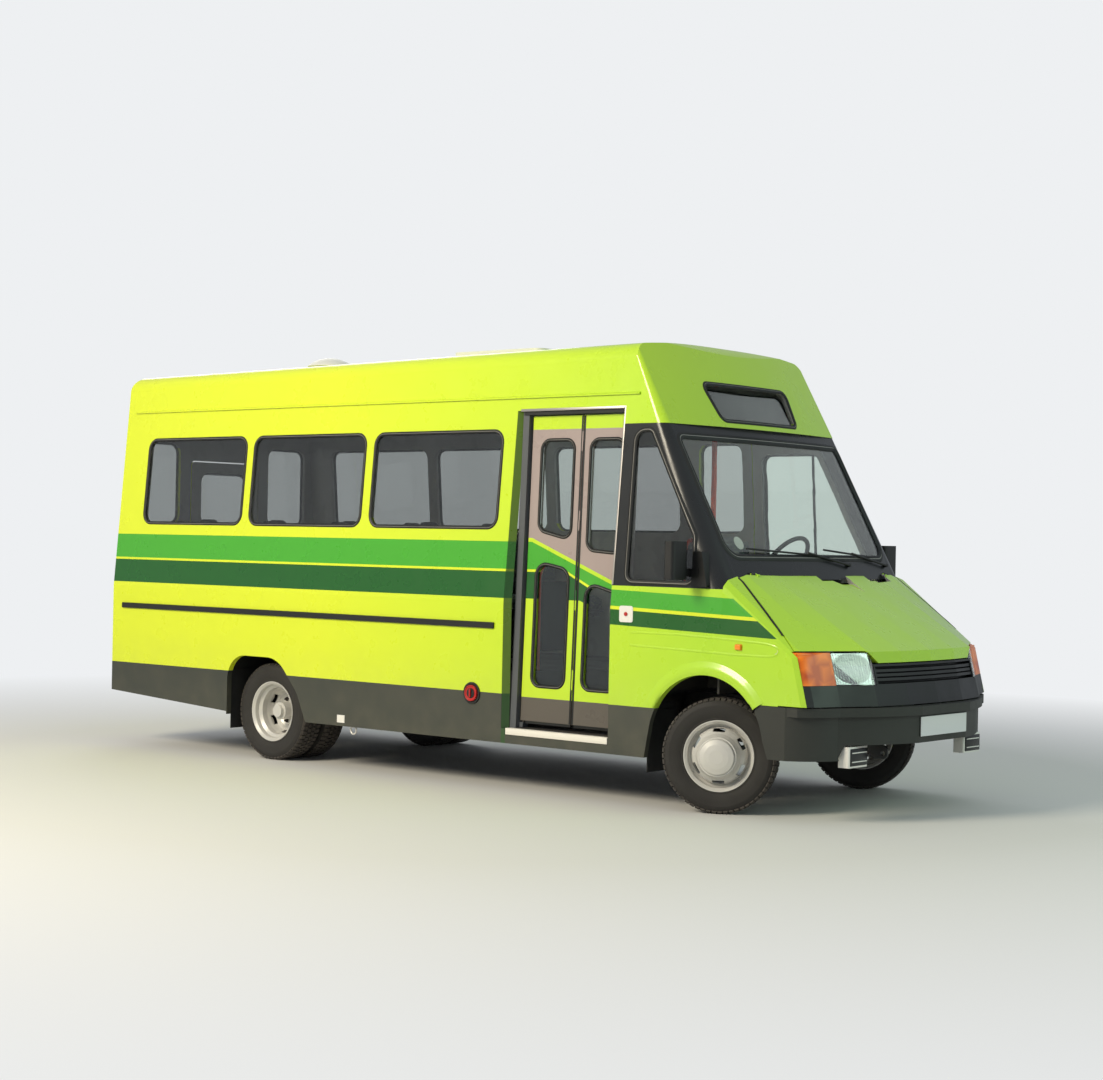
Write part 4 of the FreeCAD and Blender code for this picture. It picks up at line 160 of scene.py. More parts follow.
def smudge(tree, shader, where, size, low, high):
    """Roughness that wanders between two values in soft patches."""
    noise = add(tree, "TexNoise", {"Vector": where, "Scale": 1.0 / size, "Detail": 3.0}).outputs["Fac"]
    fill(tree, shader, "Roughness", add(tree, "MapRange", (noise, 0.35, 0.65, low, high)))


print("mid grey, linear:", [round(v, 3) for v in paint_code("#808080")])

# %% [markdown]
# ## Coach paint with stripes
# The body is gloss coach enamel: lime green with a wide mid-green band over a dark one, a thin lime line
# between them, and a grey skirt. The lime is painted darker and greener towards the nose, as painted shade.
# The bands run level along the saloon, step down over the door and run on along the cab, where their front
# end is cut on a slant.
# They could be cut as separate meshes, but paint has no thickness, so the colour is chosen by height. Each
# boundary's height is a function of X, which makes the step a slope.

# %% Coach paint
# The second lime is the nose's lime, darker and greener as painted shade.
LIME, LIME_NOSE_SHADE, MID_GREEN, DARK_GREEN, SKIRT_GREY = "#D8E62A", "#AFDA2E", "#46A62A", "#1A5A1B", "#30342C"
LINING, CAB_DARK, DOOR_SILVER, DOOR_FOOT, LEAF_LINING = "#B4B2AA", "#1D1F21", "#A2938F", "#5B554D", "#8D8B86"
# The jamb's dark green and its weight are painted shade on the entrance's rear jamb.
ROAD_FILM, JAMB_PAINTED_SHADE_GREEN, JAMB_SHADE = "#7A7360", "#1B4A12", 0.85
# The entrance's rear jamb, whose face gets painted shade: X from, X to, top
JAMB = (0.6745, 0.708, 2.331)
CAB_SLOPE = 0.03
CAB_START = 1.487
# Boundary: saloon height, cab height, X where the step starts and ends
BANDS = {
    "mid top": (1.526, 1.257, 0.800, 1.500),
    "line top": (1.357, 1.162, 1.080, 1.500),
    "line bottom": (1.342, 1.142, 1.080, 1.500),
    "dark bottom": (1.178, 1.052, 1.200, 1.500),
}


SKIRT_TOP, SKIRT_TOP_CAB = 0.592, 0.581
LINE_LIMIT, LINE_SLANT = 4.081, 1.38
FLOOR_Z, BODY_MIDDLE = 0.70, (-0.5, 0.0, 1.5)


def boundary(tree, x, name, lift=0.0):
    """Height of a band's edge: it steps down over the door and falls a little along the cab."""
    saloon, cab, start, end = BANDS[name]
    step = add(tree, "MapRange", (x, start, end, saloon + lift, cab + lift))
    fall = add(tree, "MapRange", (x, CAB_START, CAB_START + 1.5, 0.0, -1.5 * CAB_SLOPE))
    return add(tree, "Math", (step, fall), operation="ADD")


def striped(tree, x, z):
    """Colour of the striped body side: the lime is painted darker and greener towards the nose, as painted
    shade.
    """
    # Painted shade: the lime darkens and turns greener from the tail towards the nose.
    nose_shade = add(tree, "MapRange", (x, -1.0, 2.2))
    ground = add(tree, "Mix", {0: nose_shade, 6: LIME, 7: LIME_NOSE_SHADE}, data_type="RGBA")
    colour = ground
    bands = (("dark bottom", DARK_GREEN), ("line bottom", LIME), ("line top", MID_GREEN), ("mid top", ground))
    for name, paint in bands:
        above = add(tree, "Math", (z, boundary(tree, x, name)), operation="GREATER_THAN")
        colour = add(tree, "Mix", {0: above, 6: colour, 7: paint}, data_type="RGBA")
    slant = add(tree, "Math", (z, LINE_SLANT, x), operation="MULTIPLY_ADD")
    ahead_of_cut = add(tree, "Math", (slant, LINE_LIMIT), operation="GREATER_THAN")
    return add(tree, "Mix", {0: ahead_of_cut, 6: colour, 7: ground}, data_type="RGBA")


def inward_side(tree, where, z):
    """1 on faces above the floor that look towards the middle of the vehicle."""
    normal = add(tree, "TexCoord").outputs["Normal"]
    offset = add(tree, "VectorMath", (where, BODY_MIDDLE), operation="SUBTRACT")
    outwards = add(tree, "VectorMath", (normal, offset), operation="DOT_PRODUCT")
    inside = add(tree, "Math", (outwards, 0.0), operation="LESS_THAN")
    above_floor = add(tree, "Math", (z, FLOOR_Z), operation="GREATER_THAN")
    return add(tree, "Math", (inside, above_floor), operation="MULTIPLY")


def coach_paint(name, dark_above=None):
    """The body's enamel, with road film low down, a plain lining inside and painted shade on the entrance's
    rear jamb.
    """
    tree, shader = finish_of(name, LIME, 0.32, Coat_Weight=0.35, Coat_Roughness=0.05)
    where, (x, y, z) = place_of(tree)
    colour = striped(tree, x, z)
    if dark_above:
        above = add(tree, "Math", (z, dark_above), operation="GREATER_THAN")
        colour = add(tree, "Mix", {0: above, 6: colour, 7: CAB_DARK}, data_type="RGBA")
    skirt = add(tree, "MapRange", (x, 1.0, 1.5, SKIRT_TOP, SKIRT_TOP_CAB))
    below = add(tree, "Math", (z, skirt), operation="LESS_THAN")
    colour = add(tree, "Mix", {0: below, 6: colour, 7: SKIRT_GREY}, data_type="RGBA")
    film = add(tree, "TexNoise", {"Vector": where, "Scale": 6.0, "Detail": 5.0}).outputs["Fac"]
    low = add(tree, "MapRange", (z, 0.85, 0.3, 0.0, 0.45))
    patchy = add(tree, "Math", (film, film), operation="MULTIPLY")
    road = add(tree, "Math", (patchy, low), operation="MULTIPLY")
    colour = add(tree, "Mix", {0: road, 6: colour, 7: ROAD_FILM}, data_type="RGBA")
    colour = add(tree, "Mix", {0: inward_side(tree, where, z), 6: colour, 7: LINING}, data_type="RGBA")
    # Painted shade: the jamb's face, which looks towards the nose, is mixed towards a dark green.
    jamb = JAMB_SHADE
    for axis, limit, test in ((x, JAMB[0], "GREATER_THAN"), (x, JAMB[1], "LESS_THAN"),
                              (y, -0.85, "LESS_THAN"),
                              (z, JAMB[2], "LESS_THAN")):
        within = add(tree, "Math", (axis, limit), operation=test)
        jamb = add(tree, "Math", (within, jamb), operation="MULTIPLY")
    fill(tree, shader, "Base Color", add(tree, "Mix", {0: jamb, 6: colour, 7: JAMB_PAINTED_SHADE_GREEN}, data_type="RGBA"))
    gloss = add(tree, "MapRange", (film, 0.3, 0.7, 0.24, 0.36))
    fill(tree, shader, "Roughness", add(tree, "Math", (below, 0.25, gloss), operation="MULTIPLY_ADD"))


coach_paint("gloss_coach_enamel")
coach_paint("gloss_coach_enamel_cab_door", 1.278)
print("striped paints:", sorted(FINISH))

# %% [markdown]
# ## The folding leaves' paint
# The two leaves carry the same bands on their slope, a thin lime line along the top of the slope, satin
# silver round the upper windows and a grey foot.

# %% Leaf paint
# Width of the lime line over the slope, height where the silver ends, height where the grey foot ends
LEAF_LINE, LEAF_LIME_TOP, LEAF_FOOT_TOP = 0.024, 2.215, 0.576


def leaf_paint():
    tree, shader = finish_of("leaf_enamel", LIME, 0.32, Coat_Weight=0.35, Coat_Roughness=0.06)
    where, (x, y, z) = place_of(tree)
    over = add(tree, "Math", (z, boundary(tree, x, "mid top", LEAF_LINE)), operation="GREATER_THAN")
    under_top = add(tree, "Math", (z, LEAF_LIME_TOP), operation="LESS_THAN")
    silver = add(tree, "Math", (over, under_top), operation="MULTIPLY")
    foot = add(tree, "Math", (z, LEAF_FOOT_TOP), operation="LESS_THAN")
    colour = striped(tree, x, z)
    for part, paint in ((silver, DOOR_SILVER), (foot, DOOR_FOOT), (inward_side(tree, where, z), LEAF_LINING)):
        colour = add(tree, "Mix", {0: part, 6: colour, 7: paint}, data_type="RGBA")
    fill(tree, shader, "Base Color", colour)
    smudge(tree, shader, where, 0.2, 0.26, 0.42)


leaf_paint()
print("paints:", sorted(FINISH))

# %% [markdown]
# ## Plainer finishes
# One short table gives the other finishes: the moulded plastics and rubbers differ by colour and grain size,
# the metals by colour and roughness. Grain sizes are real ones in millimetres; a bumper's leather grain is
# about 2 mm.

# %% Plastics, rubbers and metals
# name: colour, roughness, metallic, grain size in mm, grain height in mm
PLAIN = {
    "satin_black_enamel": (CAB_DARK, 0.30, 0.0, 40.0, 0.02),
    "grained_bumper_polypropylene": ("#2A2C28", 0.55, 0.0, 2.0, 0.10),
    "moulded_grille_abs": ("#101214", 0.45, 0.0, 1.5, 0.05),
    "moulded_mirror_nylon": ("#0E0F10", 0.42, 0.0, 1.5, 0.05),
    "dashboard_pvc": ("#222426", 0.6, 0.0, 2.5, 0.15),
    "white_vent_abs": ("#DCDCD4", 0.4, 0.0, 30.0, 0.1),
    "epdm_rubber": ("#161819", 0.6, 0.0, 3.0, 0.05),
    "flap_rubber_sheet": ("#1E1F20", 0.75, 0.0, 6.0, 0.2),
    "tyre_rubber_wall": ("#2A2826", 0.75, 0.0, 3.0, 0.08),
    "chassis_black_wax": ("#1C1D1E", 0.5, 0.0, 12.0, 0.3),
    "cast_hub_iron": ("#4A4643", 0.6, 0.8, 4.0, 0.3),
    "engine_block_paint": ("#55595A", 0.5, 0.4, 8.0, 0.3),
    "rusty_exhaust_steel": ("#6B5A4C", 0.6, 0.7, 5.0, 0.2),
    "silver_wheel_enamel": ("#CFCDC8", 0.36, 0.25, 25.0, 0.05),
    "anodised_aluminium": ("#B9B4AE", 0.38, 0.85, 20.0, 0.02),
    "grey_post_moulding": ("#53565A", 0.5, 0.0, 6.0, 0.2),
    "seat_frame_enamel": ("#3A3B3D", 0.45, 0.0, 10.0, 0.05),
    "ribbed_floor_vinyl": ("#34322F", 0.7, 0.0, 4.0, 0.3),
    "white_step_edge_pvc": ("#E8E4DA", 0.5, 0.0, 3.0, 0.05),
    "number_plate_acrylic": ("#D8D9DA", 0.22, 0.0, 20.0, 0.01),
    "lamp_case_white_abs": ("#E4E2DC", 0.35, 0.0, 20.0, 0.02),
    "black_lens_cover_abs": ("#16181A", 0.3, 0.0, 20.0, 0.02),
}
for name, (colour, roughness, metallic, size, height) in PLAIN.items():
    tree, shader = finish_of(name, colour, roughness, metallic)
    where, _ = place_of(tree)
    grain(tree, shader, where, size / 1000, height / 1000)
    smudge(tree, shader, where, 0.25, roughness * 0.88, min(1.0, roughness * 1.12))
print("plain finishes:", len(PLAIN))

# %% [markdown]
# ## Glass
# Toughened glass is clear with a green edge. The saloon's panes are tinted grey. A Principled shader with
# full transmission bends light at both faces of a pane; the 6 mm of glass hardly shift what lies behind it.

# %% Glass and lens plastics
CLEAR = {"clear_windscreen_glass": "#E3ECE6", "tinted_saloon_glass": "#BCBFBE", "clear_lamp_glass": "#F4F6F5"}
for name, colour in CLEAR.items():
    finish_of(name, colour, 0.0, Transmission_Weight=1.0, IOR=1.5)
finish_of("vacuum_coated_reflector", "#A9ADB0", 0.16, 1.0)
finish_of("amber_lamp_back", "#F58A18", 0.3, Coat_Weight=0.5)
finish_of("silvered_mirror_glass", "#DCE1E3", 0.02, 1.0)
finish_of("red_button_abs", "#B3201C", 0.35)
# The moulded prisms behind an amber cover are drawn as square cells of light and shade.
tree, shader = finish_of("amber_acrylic", "#F27608", 0.3)
cells = add(tree, "TexVoronoi", {"Vector": place_of(tree)[0], "Scale": 11.0}, distance="CHEBYCHEV")
facet = add(tree, "MapRange", (cells.outputs["Distance"], 0.2, 0.7))
fill(tree, shader, "Base Color", add(tree, "Mix", {0: facet, 6: "#FF8208", 7: "#C44A02"}, data_type="RGBA"))
print("finishes:", len(FINISH))

# %% Rails in red, their screens in dark laminate
# Each screen: X of its middle, top
SCREENS, SCREEN_HALF = ((0.667, 1.28), (1.180, 1.50)), 0.0075
tree, shader = finish_of("red_nylon_coated_rail", "#D2401E", 0.35)
where, (x, y, z) = place_of(tree)
colour = "#D2401E"
for middle, top in SCREENS:
    close = add(tree, "Math", (x, middle, SCREEN_HALF), operation="COMPARE")
    below = add(tree, "Math", (z, top), operation="LESS_THAN")
    screen = add(tree, "Math", (close, below), operation="MULTIPLY")
    colour = add(tree, "Mix", {0: screen, 6: colour, 7: "#232425"}, data_type="RGBA")
fill(tree, shader, "Base Color", colour)
print("rail screens:", len(SCREENS))

# %% Rear lamp colours by height
# Red over amber over clear, split at the lamp's own grooves, with fine level prisms 10 mm apart.
REAR_LAMP_SPLITS = ((0.98, "#E0781A"), (1.10, "#B01818"))
tree, shader = finish_of("rear_lamp_acrylic", "#A81414", 0.12, Coat_Weight=1.0, Coat_Roughness=0.03)
where, (x, y, z) = place_of(tree)
colour = "#D9D9D6"
for split, lens in REAR_LAMP_SPLITS:
    above = add(tree, "Math", (z, split), operation="GREATER_THAN")
    colour = add(tree, "Mix", {0: above, 6: colour, 7: lens}, data_type="RGBA")
fill(tree, shader, "Base Color", colour)
wave = add(tree, "TexWave", {"Vector": where, "Scale": 31.4}, bands_direction="Z").outputs["Fac"]
fill(tree, shader, "Normal", add(tree, "Bump", {"Height": wave, "Distance": 0.001}))

# %% Which finish each CAD piece takes
NODE_FINISH = {
    "gloss_coach_enamel": ("side_right", "side_left", "rear_wall", "roof", "front_dome", "wings", "bonnet",
                           "rear_door"),
    "gloss_coach_enamel_cab_door": ("cab_door",),
    "leaf_enamel": ("door_leaf_rear", "door_leaf_front"),
    "satin_black_enamel": ("cab_frame",),
    "grained_bumper_polypropylene": ("front_bumper", "rear_bumper"),
    "moulded_grille_abs": ("grille",),
    "moulded_mirror_nylon": ("mirror_right", "mirror_left", "wipers"),
    "dashboard_pvc": ("dashboard", "steering_wheel"),
    "white_vent_abs": ("roof_vents",),
    "flap_rubber_sheet": ("mudflaps",),
    "tyre_rubber_wall": ("front_tyre_right", "front_tyre_left", "rear_tyres_right", "rear_tyres_left"),
    "chassis_black_wax": ("chassis_frame", "cross_members", "tow_eyes", "leaf_springs", "front_axle",
                          "rear_axle",
                          "fuel_tank"),
    "cast_hub_iron": ("knuckle_right", "knuckle_left"),
    "engine_block_paint": ("engine",),
    "rusty_exhaust_steel": ("exhaust",),
    "silver_wheel_enamel": ("front_rim_right", "front_rim_left", "rear_rims_right", "rear_rims_left"),
    "grey_post_moulding": ("entrance_frame",),
    "red_nylon_coated_rail": ("handrails",),
    "seat_frame_enamel": ("seat_frames", "driver_seat_frame"),
    "ribbed_floor_vinyl": ("floor", "wheel_boxes", "entrance_steps", "cab_bulkhead"),
    "clear_windscreen_glass": ("front_glass", "cab_door_glass", "door_glass_rear", "door_glass_front"),
    "tinted_saloon_glass": ("side_glass", "rear_door_glass"),
    "rear_lamp_acrylic": ("rear_lamps",),
    "lamp_case_white_abs": ("front_lamps",),
}


def wear(piece, name):
    """Give a piece one finish."""
    piece.data.materials.clear()
    piece.data.materials.append(FINISH[name])


dressed = set()
for name, members in NODE_FINISH.items():
    for member in members:
        if member in NODES:
            wear(NODES[member], name)
            dressed.add(member)
print("undressed CAD pieces:", sorted(set(NODES) - dressed))

# %% [markdown]
# ## Studio
# A plain pale floor and a broad, soft key light from the side that the photograph shows brightest. To the
# camera and through glass the world is a nearly white backdrop. What lights the object, and what its gloss
# mirrors, is the same pale world at half that strength.

# %% Floor, world and lights
BACKDROP, FADE_NEAR, FADE_FAR = "#EEF0F2", 4.0, 9.5
bpy.ops.object.select_all(action="DESELECT")
bpy.ops.mesh.primitive_plane_add(size=120.0, location=(0, 0, 0))
floor_sheet = bpy.context.object
floor_sheet.name = "studio_floor"
tree, shader = finish_of("studio_floor_paint", "#D9D8D4", 0.9)
reach = add(tree, "VectorMath", (place_of(tree)[0],), operation="LENGTH")
path = add(tree, "LightPath").outputs
seen = add(tree, "Math", (path["Is Camera Ray"], path["Is Transmission Ray"]), operation="MAXIMUM")
far = add(tree, "MapRange", (reach, FADE_NEAR, FADE_FAR))
fade = add(tree, "Math", (seen, far), operation="MULTIPLY")
backdrop = add(tree, "Emission", {"Color": BACKDROP})
mixed = add(tree, "MixShader", (fade, shader, backdrop))
fill(tree, tree.nodes["Material Output"], "Surface", mixed)
wear(floor_sheet, "studio_floor_paint")

world = bpy.data.worlds.new("studio")
bpy.context.scene.world = world
world.use_nodes = True
tree = world.node_tree
tree.nodes.clear()
path = add(tree, "LightPath").outputs
seen = add(tree, "Math", (path["Is Camera Ray"], path["Is Transmission Ray"]), operation="MAXIMUM")
lit = add(tree, "Background", {"Color": "#E9F0F8", "Strength": 0.5})
shown = add(tree, "Background", {"Color": BACKDROP, "Strength": 1.0})
add(tree, "OutputWorld", (add(tree, "MixShader", (seen, lit, shown)),))


def area_light(name, place, target, size, power, colour):
    data = bpy.data.lights.new(name, "AREA")
    data.shape, data.size, data.energy, data.color = "DISK", size, power, paint_code(colour)[:3]
    lamp = bpy.data.objects.new(name, data)
    bpy.context.scene.collection.objects.link(lamp)
    lamp.location = place
    lamp.rotation_euler = (Vector(target) - Vector(place)).to_track_quat("-Z", "Y").to_euler()


area_light("key_light", (-1.0, -10.0, 6.5), (0.0, 0.0, 1.2), 4.0, 1000.0, "#FFF4DC")
area_light("front_light", (10.0, 1.5, 4.5), (2.0, 0.0, 1.2), 4.0, 170.0, "#CDF2D6")
area_light("rear_light", (-9.0, 6.0, 6.0), (-1.0, 0.0, 1.4), 6.0, 220.0, "#FFFFFF")
bpy.context.scene.view_settings.view_transform = "Standard"

# %% [markdown]
# ## Modelling helpers
# Each new piece starts as a primitive with its place applied at once, so that its mesh holds real
# coordinates and its object stays at the origin. Faces are picked by where they are or which way they look.
# Modifiers are applied at the end.

# %% Helpers for modelling
def primitive(adder, name, **settings):
    """A primitive with nothing else selected, its place already in its mesh."""
    bpy.ops.object.select_all(action="DESELECT")
    size = settings.pop("scale", (1.0, 1.0, 1.0))
    adder(**settings)
    piece = bpy.context.object
    piece.name = piece.data.name = name
    piece.scale = size
    bpy.ops.object.transform_apply(location=True, rotation=True, scale=True)
    return piece


def slab(name, low, high):
    """A box between two corners."""
    size = [high[i] - low[i] for i in range(3)]
    middle = [(high[i] + low[i]) / 2 for i in range(3)]
    return primitive(bpy.ops.mesh.primitive_cube_add, name, size=1.0, location=middle, scale=size)


def barrel(name, start, end, radius, sides=24):
    """A cylinder between two points."""
    along = Vector(end) - Vector(start)
    turned = along.to_track_quat("Z", "Y").to_euler()
    middle = (Vector(start) + Vector(end)) / 2
    return primitive(bpy.ops.mesh.primitive_cylinder_add, name, vertices=sides, radius=radius,
                     depth=along.length, location=middle, rotation=turned)


def pick(piece, test, kind="polygons"):
    """In edit mode, select only the faces, edges or vertices whose middle (and normal) pass the test."""
    bpy.ops.object.mode_set(mode="OBJECT")
    mesh = piece.data
    for group in (mesh.vertices, mesh.edges, mesh.polygons):
        group.foreach_set("select", [False] * len(group))
    if kind == "polygons":
        for face in mesh.polygons:
            face.select = test(face.center, face.normal)
    elif kind == "vertices":
        for vertex in mesh.vertices:
            vertex.select = test(vertex.co)
    else:
        for edge in mesh.edges:
            a, b = (mesh.vertices[i].co for i in edge.vertices)
            edge.select = test(a, b)
    mode = {"polygons": "FACE", "vertices": "VERT", "edges": "EDGE"}[kind]
    bpy.ops.object.mode_set(mode="EDIT")
    bpy.ops.mesh.select_mode(type=mode)


def leave_edit():
    bpy.ops.object.mode_set(mode="OBJECT")


def modify(piece, kind, **settings):
    """Add a modifier and apply it."""
    bpy.context.view_layer.objects.active = piece
    modifier = piece.modifiers.new(kind.lower(), kind)
    for name, value in settings.items():
        setattr(modifier, name, value)
    bpy.ops.object.modifier_apply(modifier=modifier.name)


def round_edges(piece, width, segments=2, angle=30.0):
    modify(piece, "BEVEL", width=width, segments=segments, limit_method="ANGLE",
           angle_limit=math.radians(angle))


def outward(piece):
    """Merge doubles and turn the faces outwards."""
    bpy.context.view_layer.objects.active = piece
    bpy.ops.object.mode_set(mode="EDIT")
    bpy.ops.mesh.select_all(action="SELECT")
    bpy.ops.mesh.remove_doubles(threshold=0.00001)
    bpy.ops.mesh.normals_make_consistent(inside=False)
    bpy.ops.object.mode_set(mode="OBJECT")


def complete(piece, body, finish, smooth=35.0):
    """Shade, finish and mount a piece."""
    bpy.ops.object.select_all(action="DESELECT")
    piece.select_set(True)
    bpy.context.view_layer.objects.active = piece
    bpy.ops.object.shade_smooth_by_angle(angle=math.radians(smooth))
    if not piece.data.materials:
        wear(piece, finish)
    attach(piece, body)
    return piece


def twin(piece, name, matrix):
    """A copy with its own mesh, moved by a matrix; a mirror image has its faces turned back."""
    copy = bpy.data.objects.new(name, piece.data.copy())
    copy.data.name = name
    bpy.context.scene.collection.objects.link(copy)
    copy.data.transform(matrix)
    if matrix.determinant() < 0:
        copy.data.flip_normals()
    return copy


def shift(x=0.0, y=0.0, z=0.0):
    return Matrix.Translation((x, y, z))


OVER = Matrix.Diagonal((1.0, -1.0, 1.0, 1.0))


def joined(name, pieces):
    """Join pieces into one object."""
    bpy.ops.object.select_all(action="DESELECT")
    for piece in pieces:
        piece.select_set(True)
    bpy.context.view_layer.objects.active = pieces[0]
    bpy.ops.object.join()
    pieces[0].name = pieces[0].data.name = name
    return pieces[0]


# %% [markdown]
# ## Surfaces of the body
# The sides stand upright to the waist and lean in above it. The windscreen and the dome's face lean back and
# bow. No bend or shear tool works without a window, so a flat piece is laid on the body by moving each
# vertex with the body's own formula: its flat coordinates and its height above the surface give its place.

# %% Surface formulas
WAIST, LEAN_IN, HALF_WIDTH = 1.150, 0.087, 1.015
SCREEN_EDGE, SCREEN_FOOT_X, SCREEN_FOOT_Z, SCREEN_BACK, SCREEN_BOW = 0.857, 2.237, 1.462, 0.543, 0.055
DOME_FOOT_X, DOME_FOOT_Z, DOME_BACK, DOME_BOW = 1.822, 2.235, 0.557, 0.072
LEAF_Y, LEAF_FOOT, LEAF_BACK = -0.945, 0.432, 0.039
REAR_X = -3.14


def half_width(z):
    return HALF_WIDTH - LEAN_IN * max(0.0, z - WAIST)


def on_side(side):
    return lambda u, w, h: Vector((u, side * (half_width(w) + h), w))


def on_cab(side):
    """The side with the cab's round corner ahead."""
    def place(u, w, h):
        width = half_width(w)
        corner = width - SCREEN_EDGE
        front = SCREEN_FOOT_X - SCREEN_BACK * (w - SCREEN_FOOT_Z)
        into = min(max(0.0, u - (front - corner)), corner * 0.999)
        return Vector((u, side * (width - corner + math.sqrt(corner ** 2 - into ** 2) + h), w))
    return place


def bowed(foot_x, foot_z, back, bow):
    def place(u, w, h):
        edge = foot_x - back * (w - foot_z)
        if abs(u) <= SCREEN_EDGE:
            edge += bow * (1 - (u / SCREEN_EDGE) ** 2)
        else:
            corner = half_width(w) - SCREEN_EDGE
            edge -= corner - math.sqrt(max(0.0, corner ** 2 - (abs(u) - SCREEN_EDGE) ** 2))
        return Vector((edge + h * 0.88, u, w + h * 0.47))
    return place


on_screen = bowed(SCREEN_FOOT_X, SCREEN_FOOT_Z, SCREEN_BACK, SCREEN_BOW)
on_dome = bowed(DOME_FOOT_X, DOME_FOOT_Z, DOME_BACK, DOME_BOW)


def on_leaf(u, w, h):
    rise = w - LEAF_FOOT
    turn = math.atan(LEAF_BACK)
    return Vector((u, LEAF_Y - h * math.cos(turn) + rise * math.sin(turn),
                   LEAF_FOOT + rise * math.cos(turn) + h * math.sin(turn)))


def on_rear(u, w, h):
    return Vector((REAR_X - h, u, w))


def lay(piece, surface):
    """Lay a piece modelled flat in XZ, with its height along -Y, on a surface."""
    for vertex in piece.data.vertices:
        u, h, w = vertex.co.x, -vertex.co.y, vertex.co.z
        vertex.co = surface(u, w, h)
    outward(piece)


print("half width at the gutter:", round(half_width(2.408), 3))

# %% [markdown]
# ## Window rubbers
# Each pane sits in a black rubber section that grips both glass and panel, with a grey filler strip in its
# groove. The ring starts as a filled circle with one vertex per corner. Each corner is rounded with a vertex
# bevel; then insets, each lifted or sunk a little, draw the section. The middle is deleted and a Solidify
# closes the ring.

# %% Rounded outlines
def grown(corners, gap):
    """Corners (u, w, radius) moved outwards by a gap."""
    area = sum(a[0] * b[1] - b[0] * a[1] for a, b in zip(corners, corners[1:] + corners[:1]))
    side = 1 if area > 0 else -1
    lines = []
    for (a, b, _), (c, d, _) in zip(corners, corners[1:] + corners[:1]):
        length = math.hypot(c - a, d - b)
        normal = (side * (d - b) / length, -side * (c - a) / length)
        lines.append((normal, normal[0] * a + normal[1] * b + gap))
    moved = []
    for i, (_, _, radius) in enumerate(corners):
        (n1, c1), (n2, c2) = lines[i - 1], lines[i]
        cross = n1[0] * n2[1] - n1[1] * n2[0]
        moved.append(((c1 * n2[1] - c2 * n1[1]) / cross, (n1[0] * c2 - n2[0] * c1) / cross,
                      radius + gap if radius else 0.0))
    return moved


def rounded_plate(name, corners, cuts=0):
    """A flat n-gon in XZ that looks along -Y, with round corners."""
    area = sum(a[0] * b[1] - b[0] * a[1] for a, b in zip(corners, corners[1:] + corners[:1]))
    if area < 0:
        corners = corners[::-1]
    plate = primitive(bpy.ops.mesh.primitive_circle_add, name, vertices=len(corners), fill_type="NGON")
    for vertex, (u, w, _) in zip(plate.data.vertices, corners):
        vertex.co = (u, 0.0, w)
    for i, (u, w, radius) in enumerate(corners):
        if radius:
            before, after = corners[i - 1], corners[(i + 1) % len(corners)]
            spread = math.atan2(before[1] - w, before[0] - u) - math.atan2(after[1] - w, after[0] - u)
            half = abs((spread + math.pi) % (2 * math.pi) - math.pi) / 2
            pick(plate, lambda co: math.hypot(co.x - u, co.z - w) < 1e-4, "vertices")
            bpy.ops.mesh.bevel(offset=radius / math.tan(half), offset_type="OFFSET", segments=6,
                               affect="VERTICES")
    if cuts:
        pick(plate, lambda a, b: (a - b).length > 0.12, "edges")
        bpy.ops.mesh.subdivide(number_cuts=cuts)
    pick(plate, lambda centre, normal: True)
    return plate


def window_rubber(name, corners, surface, body, outside=0.010, inside=0.014, cuts=0, height=0.007):
    ring = rounded_plate(name, grown(corners, outside), cuts)
    width = outside + inside
    # width of each band as a share of the whole, and lift after it, as a share of the height
    for share, lift in ((0.16, 0.75), (0.22, 0.25), (0.04, -0.35), (0.12, 0.0), (0.04, 0.35), (0.22, -0.2),
                        (0.20, -0.95)):
        bpy.ops.mesh.inset(thickness=share * width, use_even_offset=True)
        bpy.ops.transform.translate(value=(0, -lift * height, 0))
    bpy.ops.mesh.delete(type="FACE")
    leave_edit()
    groove = -0.65 * height
    for material in ("epdm_rubber", "grey_filler_strip"):
        ring.data.materials.append(FINISH[material])
    for face in ring.data.polygons:
        flat = max(ring.data.vertices[i].co.y for i in face.vertices) - min(ring.data.vertices[i].co.y
                                                                            for i in face.vertices) < 1e-5
        face.material_index = 1 if flat and abs(face.center.y - groove) < 1e-4 else 0
    modify(ring, "SOLIDIFY", thickness=0.003, offset=-1.0)
    lay(ring, surface)
    return complete(ring, body, "epdm_rubber", 50.0)


finish_of("grey_filler_strip", "#8B8984", 0.4)

# %% Side and rear windows
WINDOW_LOW, WINDOW_HIGH, WINDOW_ROUND = 1.606, 2.212, 0.075


def oblong(u0, u1, w0=WINDOW_LOW, w1=WINDOW_HIGH, radius=WINDOW_ROUND):
    return [(u0, w0, radius), (u1, w0, radius), (u1, w1, radius), (u0, w1, radius)]


SIDE_ROWS = ((-2.861, -1.804), (-1.720, -0.632), (-0.545, 0.570))
LEFT_ROWS = SIDE_ROWS + ((0.740, 1.100),)
for i, (u0, u1) in enumerate(SIDE_ROWS):
    window_rubber(f"window_rubber_right_{i}", oblong(u0, u1), on_side(-1), "body")
for i, (u0, u1) in enumerate(LEFT_ROWS):
    window_rubber(f"window_rubber_left_{i}", oblong(u0, u1), on_side(1), "body")
for name, u0, u1 in (("rear_left", 0.44, 0.83), ("rear_right", -0.83, -0.44)):
    window_rubber(f"window_rubber_{name}", oblong(u0, u1), on_rear, "body")
window_rubber("window_rubber_back_door", oblong(-0.235, 0.235, WINDOW_LOW, 2.0), on_rear, "back_door")
print("saloon windows:", len(SIDE_ROWS), "on the right,", len(LEFT_ROWS), "on the left")

